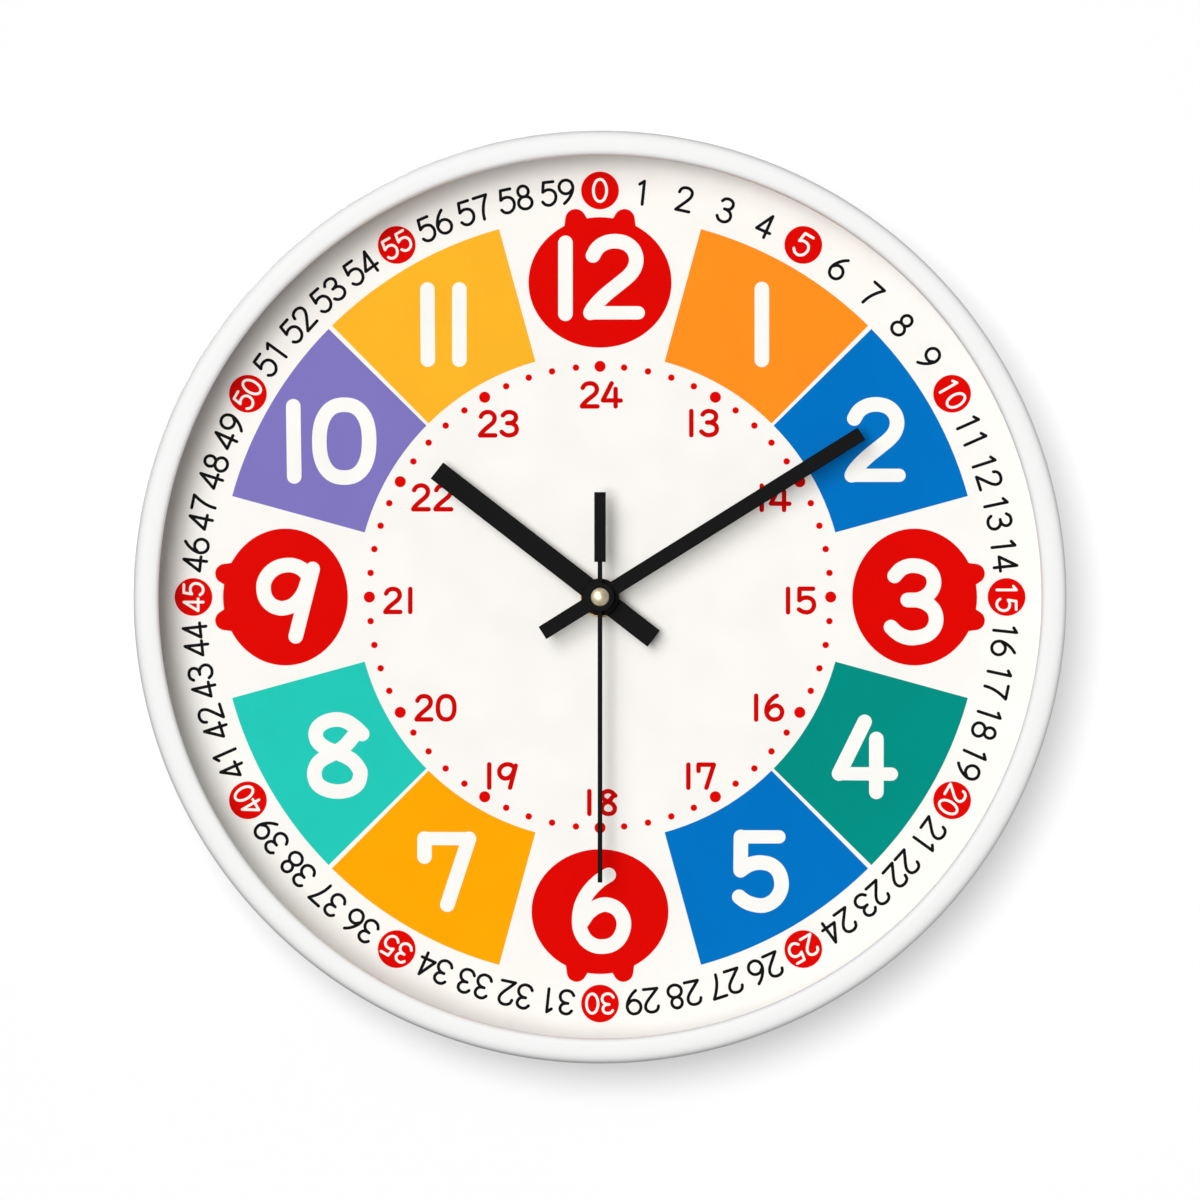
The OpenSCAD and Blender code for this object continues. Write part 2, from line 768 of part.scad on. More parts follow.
module minute_hand() {
    color([0.1, 0.1, 0.1]) pointing(minute_angle) difference() {
        union() {
            flat_hand(minute_hand_l, minute_hand_w, hand_tail, hand_boss_r, minute_hand_z);
            disc(minute_arbor_r + collar_wall, hour_pipe_end + collar_gap,
                 minute_hand_z + hand_t);
        }
        disc(minute_arbor_r, hour_pipe_end, minute_hand_z + hand_t + past);
    }
}

module second_hand() {
    seam_w = 0.35;
    seam_depth = 0.2;
    color([0.09, 0.09, 0.09]) pointing(second_angle) difference() {
        union() {
            block([-second_hand_w / 2, -counter_start - past, second_hand_z],
                  [second_hand_w / 2, second_hand_l, second_hand_z + hand_t]);
            block([-counter_w / 2, -counter_l, second_hand_z],
                  [counter_w / 2, -counter_start, second_hand_z + hand_t]);
            disc(second_boss_r, second_hand_z, cap_base);
            disc(second_arbor_r + collar_wall, minute_pipe_end + collar_gap,
                 second_hand_z + hand_t);
        }
        disc(second_arbor_r, minute_pipe_end, cap_base + past);
        // Fine groove round the cap's foot
        ring(cap_r + seam_w, cap_r, cap_base - seam_depth, cap_base + past);
    }
}

module cap() {
    // The dome is the top of a sphere whose foot has the cap's radius
    dome_r = (cap_r * cap_r + cap_h * cap_h) / (2 * cap_h);
    color([0.86, 0.8, 0.62]) pointing(second_angle) intersection() {
        translate([0, 0, cap_base + cap_h - dome_r]) sphere(dome_r);
        disc(cap_r + past, cap_base, cap_base + cap_h + past);
    }
}

// Movement covers and plate

module movement_front() {
    slot_w = 2 * contact_t;
    slot_h = tail_h + 0.4;
    setting_bearing_r = stem_r + 1;
    spigot_hole_l = 1.5;
    setting_top = minute_wheel_z + wheel_t;
    color([0.13, 0.13, 0.14]) in_place() difference() {
        union() {
            difference() {
                translate([0, movement_mid_y, floor_z])
                    linear_extrude(movement_face - floor_z)
                        rounded_rect(movement_w, movement_w, shell_round);
                block([-inner_x, bay_wall_y, floor_z - past], [inner_x, inner_top, ceiling_z]);
                block([-inner_x, bay_bottom, floor_z - past], [inner_x, bay_top, bay_ceiling]);
                // Slots that let the contacts' tails out of the battery bay
                for (tail = [[1, tail_plus_z], [-1, tail_minus_z]])
                    translate([tail[0] * (inner_x - slot_w / 2), bay_wall_y - bay_wall_t / 2,
                               tail[1] + tail_h / 2])
                        cube([slot_w, bay_wall_t + past, slot_h], center = true);
            }
            disc(bush_r, movement_face - past / 2, bush_top);
            disc(bush_r, hour_boss_z, ceiling_z + past / 2);
            at(minute_at) disc(post_r, hour_boss_z + 0.5, ceiling_z + past / 2);
            at(setting_at) disc(setting_bearing_r, setting_top + 0.5, ceiling_z + past / 2);
        }
        disc(hour_pipe_r + run_gap, hour_boss_z - past, bush_top + past);
        at(minute_at) disc(spigot_r + run_gap, hour_boss_z, hour_boss_z + spigot_hole_l);
        at(setting_at) disc(stem_r + run_gap, setting_top, setting_top + spigot_hole_l);
    }
}

module pivot_hole(p) {
    at(p) disc(pivot_r + run_gap, pivot_end - foot_gap, boss_top + past);
}

module movement_back() {
    rim_t = 1;
    rim_gap = 0.2;
    rim_h = 2;
    stake_proud = 0.3;
    rim_x = inner_x - rim_gap;
    color([0.16, 0.16, 0.17]) in_place() difference() {
        union() {
            translate([0, movement_mid_y, back_gap])
                linear_extrude(shell_t) rounded_rect(movement_w, movement_w, shell_round);
            // Rim that keeps the front cover's walls in line
            difference() {
                block([-rim_x, bay_wall_y + rim_gap, floor_z - past / 2],
                      [rim_x, inner_top - rim_gap, floor_z + rim_h]);
                block([-rim_x + rim_t, bay_wall_y + rim_gap + rim_t, floor_z - past],
                      [rim_x - rim_t, inner_top - rim_gap - rim_t, floor_z + rim_h + past]);
            }
            for (p = [[0, 0], third_at, fifth_at, rotor_at])
                at(p) disc(boss_r, floor_z - past / 2, boss_top);
            for (p = plate_posts)
                at(p) {
                    disc(post_r, floor_z - past / 2, plate_z);
                    disc(spigot_r, floor_z, plate_top);
                }
            for (y = [core_low_y, core_high_y])
                at([coil_x, y]) {
                    disc(core_w / 2, floor_z - past / 2, coil_z - core_t / 2);
                    disc(stake_r, floor_z, stator_z + stator_t + stake_proud);
                }
            at(setting_at) disc(well_r + well_wall, back_gap, well_floor_z + well_floor_t);
        }
        block([-inner_x, bay_bottom, back_gap - past],
              [inner_x, bay_top - rim_gap, floor_z + past]);
        disc(second_arbor_r + run_gap, pivot_end - foot_gap, boss_top + past);
        for (p = [third_at, fifth_at, rotor_at]) pivot_hole(p);
        at(setting_at) {
            disc(well_r, back_gap - past, well_floor_z);
            disc(stem_r + run_gap, well_floor_z - past, well_floor_z + well_floor_t + past);
        }
    }
}

module middle_plate() {
    right_x = inner_x - 2.6;
    far_left_x = 0.6 - inner_x;
    top_y = inner_top - 0.3;
    bottom_y = bay_wall_y + 1.5;
    // The plate ends beside the coil and above its upper end
    left_x = coil_x + bobbin_r + 0.9;
    coil_side_y = 0.8;
    spigot_l = 1.2;
    color([0.2, 0.2, 0.21]) in_place() difference() {
        union() {
            translate([0, 0, plate_z]) linear_extrude(plate_t) polygon([
                [far_left_x, top_y], [right_x, top_y], [right_x, bottom_y],
                [left_x, bottom_y], [left_x, coil_side_y], [far_left_x, coil_side_y]
            ]);
            // The minute wheel turns on this post
            at(minute_at) disc(spigot_r, plate_z, hour_boss_z + spigot_l);
            at(minute_at) disc(post_r, plate_z, minute_wheel_z - foot_gap);
        }
        disc(plate_seat_r + run_gap, plate_z - past, plate_top + past);
        for (p = [third_at, fifth_at, rotor_at])
            at(p) disc(pivot_r + run_gap, plate_z - past, plate_top + past);
        at(setting_at) disc(stem_r + run_gap, plate_z - past, plate_top + past);
        for (p = plate_posts) at(p) disc(spigot_r + run_gap, plate_z - past, plate_top + past);
    }
}

// Gear train

module seconds_arbor() {
    color([0.78, 0.79, 0.8]) in_place() disc(second_arbor_r, pivot_end, cap_base);
}

module seconds_wheel() {
    hub_r = second_arbor_r + arbor_r;
    color([0.93, 0.93, 0.9]) in_place() difference() {
        union() {
            wheel_teeth(seconds_teeth, fifth_leaves, going_module, 0, seconds_z);
            disc(hub_r, boss_top + foot_gap, seconds_z + wheel_t / 2);
            pinion_leaves(seconds_leaves, third_teeth, going_module, 0,
                          seconds_z + wheel_t / 2, third_z + wheel_t + 0.2);
        }
        disc(second_arbor_r, floor_z, centre_z);
        web_holes(4, 5.2, 2, seconds_z);
    }
}

module fifth_wheel() {
    color([0.93, 0.93, 0.9]) in_place() at(fifth_at) {
        difference() {
            wheel_teeth(fifth_teeth, rotor_leaves, going_module, 0, fifth_z);
            web_holes(4, 3.8, 1.1, fifth_z);
        }
        pinion_leaves(fifth_leaves, seconds_teeth, going_module, fifth_pinion_phase,
                      fifth_z + wheel_t / 2, seconds_z + wheel_t + 0.3);
        disc(arbor_r, boss_top + foot_gap, plate_z - end_play);
        disc(pivot_r, pivot_end, plate_top - end_play);
    }
}

module third_wheel() {
    color([0.93, 0.93, 0.9]) in_place() at(third_at) {
        difference() {
            wheel_teeth(third_teeth, seconds_leaves, going_module, third_phase, third_z);
            web_holes(4, 5.4, 2.2, third_z);
        }
        pinion_leaves(third_leaves, centre_teeth, centre_module, 0,
                      third_z + wheel_t / 2, centre_z + wheel_t + 0.2);
        // The thin length passes the seconds wheel's teeth
        disc(thin_arbor_r, boss_top + foot_gap, third_z + wheel_t / 2);
        disc(arbor_r, third_z + wheel_t / 2, plate_z - end_play);
        disc(pivot_r, pivot_end, plate_top - end_play);
    }
}

module centre_wheel() {
    color([0.9, 0.85, 0.6]) in_place() difference() {
        wheel_teeth(centre_teeth, third_leaves, centre_module, centre_phase, centre_z);
        disc(clutch_seat_r + run_gap, centre_z - past, centre_z + wheel_t + past);
        web_holes(4, 5.4, 2.1, centre_z);
    }
}

// Washer between the centre wheel and the minute arbor's shoulder: its grip drives
// the hands, and it slips when they are set
module clutch_spring() {
    z = centre_z + wheel_t;
    middle_r = clutch_seat_r + 0.9;
    arm_w = 1;
    arm_l = 3.4;
    color([0.8, 0.81, 0.82]) in_place() difference() {
        union() {
            disc(middle_r, z, clutch_top);
            for (a = [0, 120, 240])
                rotate(a) block([-arm_w / 2, 0, z], [arm_w / 2, arm_l, clutch_top]);
        }
        disc(clutch_seat_r, z - past, z + past);
    }
}

module minute_arbor() {
    flange_r = minute_arbor_r + 0.1;
    flange_t = 0.3;
    color([0.82, 0.72, 0.45]) in_place() difference() {
        union() {
            disc(flange_r, centre_z - foot_gap - flange_t, centre_z - foot_gap);
            disc(clutch_seat_r, centre_z - flange_t, clutch_top + past / 2);
            disc(plate_seat_r, clutch_top, minute_wheel_z);
            pinion_leaves(cannon_leaves, minute_teeth, motion_module, 0,
                          plate_top + 0.3, minute_wheel_z + wheel_t + 0.4);
            disc(minute_arbor_r, minute_wheel_z, minute_pipe_end);
        }
        disc(second_arbor_r + run_gap, centre_z - past, minute_pipe_end + past);
    }
}

module minute_wheel() {
    color([0.15, 0.15, 0.15]) in_place() at(minute_at) difference() {
        union() {
            wheel_teeth(minute_teeth, cannon_leaves, motion_module, minute_phase,
                        minute_wheel_z);
            pinion_leaves(minute_leaves, hour_teeth, hour_module, 0,
                          minute_wheel_z + wheel_t / 2, hour_boss_z);
        }
        disc(spigot_r + run_gap, plate_top, hour_boss_z + past);
        web_holes(4, 3.8, 1.2, minute_wheel_z);
    }
}

module hour_wheel() {
    color([0.93, 0.93, 0.9]) in_place() difference() {
        union() {
            wheel_teeth(hour_teeth, minute_leaves, hour_module, hour_phase, hour_wheel_z);
            disc(hour_pipe_r + 0.7, minute_wheel_z + wheel_t + 0.6, hour_boss_z - foot_gap);
            disc(hour_pipe_r, hour_wheel_z, hour_pipe_end);
        }
        disc(minute_arbor_r + run_gap, minute_wheel_z, hour_pipe_end + past);
        web_holes(4, 4.8, 0.9, hour_wheel_z);
    }
}

module rotor_pinion() {
    leaves_top = fifth_z + wheel_t + 0.4;
    color([0.93, 0.93, 0.9]) in_place() at(rotor_at) {
        pinion_leaves(rotor_leaves, fifth_teeth, going_module, rotor_phase,
                      fifth_z - 0.1, leaves_top);
        disc(arbor_r + 0.3, leaves_top, magnet_z);
        disc(pivot_r, pivot_end, plate_top - end_play);
    }
}

module rotor_magnet() {
    color([0.25, 0.25, 0.27]) in_place()
        at(rotor_at) ring(magnet_r, pivot_r, magnet_z, magnet_z + magnet_l);
}

// Motor

module stator() {
    slit = [3, 0.4];
    bridge = 0.3;
    margin = 0.2;
    hole_r = magnet_r + 0.4;
    outer_r = hole_r + 2;
    low_y = core_low_y - core_w / 2 - margin;
    high_y = core_high_y + core_w / 2 + margin;
    color([0.7, 0.71, 0.73]) in_place() translate([0, 0, stator_z]) linear_extrude(stator_t)
        difference() {
            union() {
                translate(rotor_at) circle(outer_r);
                translate([coil_x - core_w / 2, core_high_y - core_w / 2])
                    square([rotor_at[0] - coil_x + core_w / 2, high_y - core_high_y + core_w / 2]);
                translate([stator_strip[0], low_y])
                    square([stator_strip[1] - stator_strip[0], rotor_at[1] - low_y]);
                translate([coil_x - core_w / 2, low_y])
                    square([stator_strip[1] - coil_x + core_w / 2, core_w + 2 * margin]);
            }
            translate(rotor_at) circle(hole_r);
            for (side = [-1, 1])
                translate(rotor_at + [side * (hole_r + bridge + slit[0] / 2), -slit[1]])
                    square(slit, center = true);
            for (y = [core_low_y, core_high_y]) translate([coil_x, y]) circle(stake_r + run_gap);
        }
}

module coil_core() {
    color([0.66, 0.67, 0.7]) in_place() difference() {
        block([coil_x - core_w / 2, core_low_y - core_w / 2, coil_z - core_t / 2],
              [coil_x + core_w / 2, core_high_y + core_w / 2, coil_z + core_t / 2]);
        for (y = [core_low_y, core_high_y])
            at([coil_x, y]) disc(stake_r + run_gap, coil_z - past, coil_z + past);
    }
}

// Lays a part that is drawn along z on the coil's axis, starting under the winding
module on_coil() {
    in_place() translate([coil_x, winding_low_y - bobbin_flange, coil_z]) rotate([-90, 0, 0])
        children();
}

module coil_bobbin() {
    total = winding_l + 2 * bobbin_flange;
    color([0.85, 0.84, 0.78]) on_coil() difference() {
        union() {
            disc(bobbin_tube_r, 0, total);
            disc(bobbin_r, 0, bobbin_flange);
            disc(bobbin_r, total - bobbin_flange, total);
        }
        block([-core_w / 2 - run_gap, -core_t / 2 - run_gap, -past],
              [core_w / 2 + run_gap, core_t / 2 + run_gap, total + past]);
    }
}

module coil_winding() {
    color([0.72, 0.36, 0.14]) on_coil()
        ring(bobbin_r - 0.3, bobbin_tube_r, bobbin_flange, bobbin_flange + winding_l);
}

// Circuit

module circuit_board() {
    color([0.1, 0.36, 0.2]) in_place()
        block([board_x, board_y, plate_top], [board_x + board_w, board_y + board_h, board_top]);
}

module quartz_crystal() {
    can_r = 1;
    can_l = 6.2;
    color([0.8, 0.81, 0.82]) in_place() at(crystal_at, board_top + can_r)
        rotate([0, 90, 0]) disc(can_r, 0, can_l);
}

module chip_cover() {
    foot_r = 2.6;
    rise = 1;
    dome_r = (foot_r * foot_r + rise * rise) / (2 * rise);
    color([0.05, 0.05, 0.05]) in_place() at(chip_at) intersection() {
        translate([0, 0, board_top + rise - dome_r]) sphere(dome_r);
        disc(foot_r + past, board_top, board_top + rise + past);
    }
}

// Battery and its contacts

// A flat strip from the battery bay along the side wall, on the wall's inner face
module contact_strip(side, tail_z, end_y) {
    x = side > 0 ? [inner_x - contact_t, inner_x] : [-inner_x, -inner_x + contact_t];
    block([x[0], contact_low_y, contact_low_z], [x[1], contact_high_y, contact_high_z]);
    block([x[0], contact_high_y - past, tail_z], [x[1], end_y, tail_z + tail_h]);
}

module positive_contact() {
    foot_x = board_x + board_w - 3.8;
    foot_w = 2;
    wall_y = inner_top - contact_t;
    color([0.82, 0.82, 0.8]) in_place() {
        contact_strip(1, tail_plus_z, inner_top);
        block([foot_x, wall_y, tail_plus_z], [inner_x, inner_top, tail_plus_z + tail_h]);
        block([foot_x, wall_y, board_top], [foot_x + foot_w, inner_top, tail_plus_z + past]);
        block([foot_x, board_y + board_h - foot_w, board_top],
              [foot_x + foot_w, inner_top, board_top + contact_t]);
    }
}

// The minus contact has a bent leaf that presses on the cell's flat end
module negative_contact() {
    plate_x = -inner_x;
    leaf_x = cell_minus_x - 0.1;
    leaf_w = 5;
    leaf_y = [cell_y - 2, cell_y + 2];
    root_x = plate_x + contact_t - 0.1;
    foot_y = board_y + 3.1;
    foot = [2.4, 2];
    color([0.82, 0.82, 0.8]) in_place() {
        contact_strip(-1, tail_minus_z, foot_y);
        block([plate_x, foot_y - foot[1], board_top],
              [plate_x + foot[0], foot_y, board_top + contact_t]);
        translate([0, 0, cell_z - leaf_w / 2]) linear_extrude(leaf_w) polygon([
            [root_x, contact_high_y - 0.5],
            [leaf_x, leaf_y[1]], [leaf_x, leaf_y[0]],
            [leaf_x - contact_t, leaf_y[0]], [leaf_x - contact_t, leaf_y[1]],
            [root_x, contact_high_y - 1.2]
        ]);
    }
}

module battery_cell() {
    stud_l = 1;
    stud_r = 2.75;
    shoulder = 0.8;
    foot = 0.4;
    body_l = cell_l - stud_l;
    color([0.35, 0.37, 0.4]) in_place()
        translate([cell_minus_x, cell_y, cell_z]) rotate([0, 90, 0]) rotate_extrude()
            polygon([
                [0, 0], [cell_r - foot, 0], [cell_r, foot], [cell_r, body_l - shoulder],
                [cell_r - shoulder, body_l], [stud_r, body_l], [stud_r, cell_l], [0, cell_l]
            ]);
}

// Hand setting

module setting_knob() {
    grips = 24;
    grip_r = 0.4;
    dish_out_r = knob_r - 1.2;
    dish_in_r = 1.8;
    dish_depth = 0.5;
    z = back_gap + foot_gap;
    color([0.85, 0.85, 0.83]) in_place() at(setting_at) {
        difference() {
            disc(knob_r, z, z + knob_t);
            for (i = [0 : grips - 1])
                rotate(i * 360 / grips)
                    translate([knob_r, 0, z - past])
                        cylinder(r = grip_r, h = knob_t + 2 * past, $fn = 16);
            ring(dish_out_r, dish_in_r, z - past, z + dish_depth);
        }
        disc(stem_r, z + knob_t / 2, minute_wheel_z + wheel_t + 1.3);
    }
}

module setting_pinion() {
    color([0.93, 0.93, 0.9]) in_place() at(setting_at) difference() {
        pinion_leaves(cannon_leaves, minute_teeth, motion_module, setting_phase,
                      plate_top + 0.2, minute_wheel_z + wheel_t + 0.3);
        disc(stem_r, plate_top, minute_wheel_z + wheel_t + past);
    }
}

case_ring();
lens();
spacer_ring();
dial();
print_orange();
print_amber();
print_yellow();
print_blue();
print_green();
print_turquoise();
print_purple();
print_red();
back_cover();
back_skirt();
hanger_posts();
hanger_plate();
hanger_screws();
rubber_washer();
flat_washer();
hex_nut();
hour_hand();
minute_hand();
second_hand();
cap();
movement_front();
movement_back();
middle_plate();
seconds_arbor();
seconds_wheel();
minute_arbor();
centre_wheel();
clutch_spring();
hour_wheel();
minute_wheel();
third_wheel();
fifth_wheel();
rotor_pinion();
rotor_magnet();
stator();
coil_core();
coil_bobbin();
coil_winding();
circuit_board();
quartz_crystal();
chip_cover();
positive_contact();
negative_contact();
battery_cell();
setting_knob();
setting_pinion();
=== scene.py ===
import math

import bpy
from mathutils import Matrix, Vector
from mathutils.geometry import delaunay_2d_cdt


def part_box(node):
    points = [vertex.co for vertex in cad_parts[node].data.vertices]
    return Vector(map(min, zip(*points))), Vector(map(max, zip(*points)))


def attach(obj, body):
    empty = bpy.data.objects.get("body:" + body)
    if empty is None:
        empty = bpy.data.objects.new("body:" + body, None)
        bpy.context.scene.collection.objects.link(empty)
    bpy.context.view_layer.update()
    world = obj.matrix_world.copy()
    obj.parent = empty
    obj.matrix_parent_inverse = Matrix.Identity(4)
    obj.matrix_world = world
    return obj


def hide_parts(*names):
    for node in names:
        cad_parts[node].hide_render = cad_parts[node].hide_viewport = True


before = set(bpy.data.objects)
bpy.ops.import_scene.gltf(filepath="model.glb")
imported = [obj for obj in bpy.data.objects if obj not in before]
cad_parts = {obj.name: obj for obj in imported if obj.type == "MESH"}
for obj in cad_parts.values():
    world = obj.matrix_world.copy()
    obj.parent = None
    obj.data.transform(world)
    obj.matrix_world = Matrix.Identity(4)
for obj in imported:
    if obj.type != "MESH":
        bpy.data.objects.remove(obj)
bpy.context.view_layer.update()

MM = 0.001
# The photograph's width in pixels, how many of them make a millimetre, and the hands' axis in it
PHOTO_SIZE = 1200
PX = 3.109
PHOTO_CENTRE = (600.5, 598.0)
# Where the hands point at rest, in degrees clockwise from the 12
HOUR_ANGLE, MINUTE_ANGLE, SECOND_ANGLE = 307.8, 58.0, 180.0
# Light on the dial as a share of what a perfectly white sheet needs to show as 255
DIAL_LIGHT = 1.085


def level(node, side):
    """A node's distance from the wall, in mm: its back with side 1, its front with side 0."""
    return -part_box(node)[side][1] / MM


# Camera, straight in front of the dial and far away

def make_camera():
    """The silhouette is the plane in which PX pixels make a millimetre."""
    silhouette, away = 36.9 * MM, 4.0
    film_w, pixels_below_axis = 36, 3
    data = bpy.data.cameras.new("photo_camera")
    data.sensor_width = film_w
    data.lens = film_w * PX / MM * away / PHOTO_SIZE
    data.clip_end = 50
    cam = bpy.data.objects.new("photo_camera", data)
    cam.location = (0, -silhouette - away, -pixels_below_axis / PX * MM)
    cam.rotation_euler = (math.radians(90), 0, 0)
    bpy.context.scene.collection.objects.link(cam)
    bpy.context.scene.camera = cam


make_camera()
bpy.context.scene.view_settings.view_transform = "Standard"


# Light: soft lamps on the dial and on the case, fill from behind, and a dim surrounding

def sun(name, towards, strength, spread):
    data = bpy.data.lights.new(name, "SUN")
    data.energy = strength
    data.angle = math.radians(spread)
    lamp = bpy.data.objects.new(name, data)
    lamp.rotation_mode = "QUATERNION"
    lamp.rotation_quaternion = Vector(towards).to_track_quat("-Z", "Y")
    bpy.context.scene.collection.objects.link(lamp)
    return lamp


def linked(name, objects=(), but_not=False):
    """A collection for a lamp: it acts on these objects only, or on all but these."""
    group = bpy.data.collections.new(name)
    for member in objects:
        group.objects.link(member)
    if but_not:
        for entry in group.collection_objects:
            entry.light_linking.link_state = "EXCLUDE"
    return group


def light_the_scene(wall, case, hands):
    """The key lamps shine from the upper left. Only the hands shade them, or the hands and the
    spacer ring. Everything shades the front lamps, so that the case throws a short soft shadow
    on the dial and on the wall. The side lamp evens out the case from the right."""
    slant, steep = (0.56, 1.0, -0.56), (0.16, 1.0, -0.16)
    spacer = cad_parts["spacer_ring"]
    inside = linked("lit_inside", (wall, case, spacer), but_not=True)
    outside = linked("lit_outside", (wall, case))
    front = linked("lit_front", (wall, case, spacer))
    moulding = linked("lit_case", (case,))
    hands_only = linked("shades_of_hands", hands)
    hands_and_spacer = linked("shades_of_hands_and_spacer", [*hands, spacer])
    # Each lamp with what it shines on and what shades it
    for lamp, receivers, blockers in (
            (sun("hand_key", slant, 0.18, 34), inside, hands_only),
            (sun("dial_key", slant, 1.37, 34), inside, hands_and_spacer),
            (sun("dial_front", (0.3, 1.0, 0.0), 1.78, 30), inside, None),
            (sun("case_key", (0.4, 1.0, -0.4), 1.38, 40), outside, hands_only),
            (sun("case_front", steep, 1.6, 25), front, None),
            (sun("case_side", (-1.0, 0.12, 0.25), 0.8, 60), moulding, hands_only)):
        lamp.light_linking.receiver_collection = receivers
        if blockers:
            lamp.light_linking.blocker_collection = blockers
    sun("back_fill", (0.25, -1.0, -0.3), 1.5, 20)


def make_world():
    """A dim even surrounding, which the camera sees as the plain pale backdrop."""
    world = bpy.data.worlds.new("studio")
    bpy.context.scene.world = world
    world.use_nodes = True
    nodes, links = world.node_tree.nodes, world.node_tree.links
    around = nodes["Background"]
    backdrop = nodes.new("ShaderNodeBackground")
    for n, strength in ((around, 0.2), (backdrop, 0.85)):
        n.inputs["Color"].default_value = (1, 1, 1, 1)
        n.inputs["Strength"].default_value = strength
    path = nodes.new("ShaderNodeLightPath")
    mixer = nodes.new("ShaderNodeMixShader")
    links.new(path.outputs["Is Camera Ray"], mixer.inputs[0])
    links.new(around.outputs[0], mixer.inputs[1])
    links.new(backdrop.outputs[0], mixer.inputs[2])
    links.new(mixer.outputs[0], nodes["World Output"].inputs["Surface"])


make_world()


# Materials

class Tree:
    """A material's node tree with short ways to add and join nodes."""

    def __init__(self, name):
        self.material = bpy.data.materials.new(name)
        self.material.use_nodes = True
        self.nodes = self.material.node_tree.nodes
        self.links = self.material.node_tree.links
        self.shader = self.nodes["Principled BSDF"]
        self.output = self.nodes["Material Output"]
        self.where = self.add("TexCoord").outputs["Object"]

    def add(self, kind, **settings):
        n = self.nodes.new("ShaderNode" + kind)
        for k, v in settings.items():
            setattr(n, k, v)
        return n

    def join(self, a, b):
        self.links.new(a, b)

    def noise(self, scale, detail=3.0, stretch=None):
        n = self.add("TexNoise")
        n.inputs["Scale"].default_value = scale
        n.inputs["Detail"].default_value = detail
        where = self.where
        if stretch:
            m = self.add("Mapping")
            m.inputs["Scale"].default_value = stretch
            self.join(where, m.inputs["Vector"])
            where = m.outputs["Vector"]
        self.join(where, n.inputs["Vector"])
        return n.outputs["Fac"]

    def range(self, value, low, high, from_low=0.3, from_high=0.7):
        n = self.add("MapRange")
        n.inputs["From Min"].default_value = from_low
        n.inputs["From Max"].default_value = from_high
        n.inputs["To Min"].default_value = low
        n.inputs["To Max"].default_value = high
        self.join(value, n.inputs["Value"])
        return n.outputs["Result"]

    def mix(self, fac, a, b):
        n = self.add("Mix", data_type="RGBA")
        self.join(fac, n.inputs["Factor"])
        for name, v in (("A", a), ("B", b)):
            socket = [s for s in n.inputs if s.name == name and s.type == "RGBA"][0]
            if isinstance(v, (tuple, list)):
                socket.default_value = (*v[:3], 1)
            else:
                self.join(v, socket)
        return [s for s in n.outputs if s.type == "RGBA"][0]

    def math(self, operation, a, b=None, clamp=False):
        n = self.add("Math", operation=operation, use_clamp=clamp)
        for i, v in enumerate((a, b)):
            if v is None:
                continue
            if isinstance(v, (int, float)):
                n.inputs[i].default_value = v
            else:
                self.join(v, n.inputs[i])
        return n.outputs["Value"]

    def bump(self, height, strength, distance):
        n = self.add("Bump")
        n.inputs["Strength"].default_value = strength
        n.inputs["Distance"].default_value = distance
        self.join(height, n.inputs["Height"])
        self.join(n.outputs["Normal"], self.shader.inputs["Normal"])

    def set(self, **values):
        for k, v in values.items():
            self.shader.inputs[k.replace("_", " ")].default_value = v


def shade(colour, k):
    return tuple(min(1, c * k) for c in colour)


def plastic(name, colour, rough=0.4, grain=900, grain_depth=0.00003, strength=0.15, mottle=0.04,
            gloss=0.5):
    """Moulded plastic: a fine eroded grain, faint flow marks in the colour and uneven gloss."""
    t = Tree(name)
    flow = t.noise(18, 4)
    fine = t.noise(grain, 2)
    t.join(t.mix(t.range(flow, 0, 1), shade(colour, 1 - mottle), shade(colour, 1 + mottle / 2)),
           t.shader.inputs["Base Color"])
    t.join(t.range(flow, rough * 0.9, rough * 1.12), t.shader.inputs["Roughness"])
    t.bump(fine, strength, grain_depth)
    t.set(Specular_IOR_Level=gloss)
    return t.material


def ink(name, colour):
    """Screen-printed ink: barely uneven cover, a satin film and the fine grain of the sheet."""
    t = Tree(name)
    cover = t.noise(60, 5)
    speck = t.noise(2600, 2)
    body = t.mix(t.range(cover, 0, 1), shade(colour, 0.975), shade(colour, 1.02))
    t.join(t.mix(t.range(speck, 0, 0.35, 0.62, 0.8), body, shade(colour, 0.9)),
           t.shader.inputs["Base Color"])
    t.join(t.range(cover, 0.5, 0.6), t.shader.inputs["Roughness"])
    t.set(Specular_IOR_Level=0.008)
    t.bump(speck, 0.08, 0.00001)
    return t.material


def metal(name, colour, rough=0.3, scratch=(1, 1, 1), scale=400, depth=0.00002, bare=1.0):
    """Metal with patchy polish and fine lines, which run across the axis with the largest
    number in scratch."""
    t = Tree(name)
    lines = t.noise(scale, 3, scratch)
    patch = t.noise(40, 4)
    t.join(t.mix(t.range(lines, 0, 1), shade(colour, 0.86), shade(colour, 1.04)),
           t.shader.inputs["Base Color"])
    t.join(t.math("ADD", t.range(lines, -0.05, 0.08), t.range(patch, rough * 0.85, rough * 1.15)),
           t.shader.inputs["Roughness"])
    t.set(Metallic=bare)
    t.bump(lines, 0.2, depth)
    return t.material


def paint(name, colour, rough=0.42):
    """Thin satin paint on a stamped hand: fine orange peel and a few brighter dust specks."""
    t = Tree(name)
    peel = t.noise(700, 2)
    dust = t.noise(1500, 1)
    t.join(t.mix(t.range(dust, 0, 1, 0.7, 0.82), colour, shade(colour, 2.2)),
           t.shader.inputs["Base Color"])
    t.join(t.range(peel, rough * 0.9, rough * 1.1), t.shader.inputs["Roughness"])
    t.set(Specular_IOR_Level=0.015)
    t.bump(peel, 0.12, 0.00002)
    return t.material


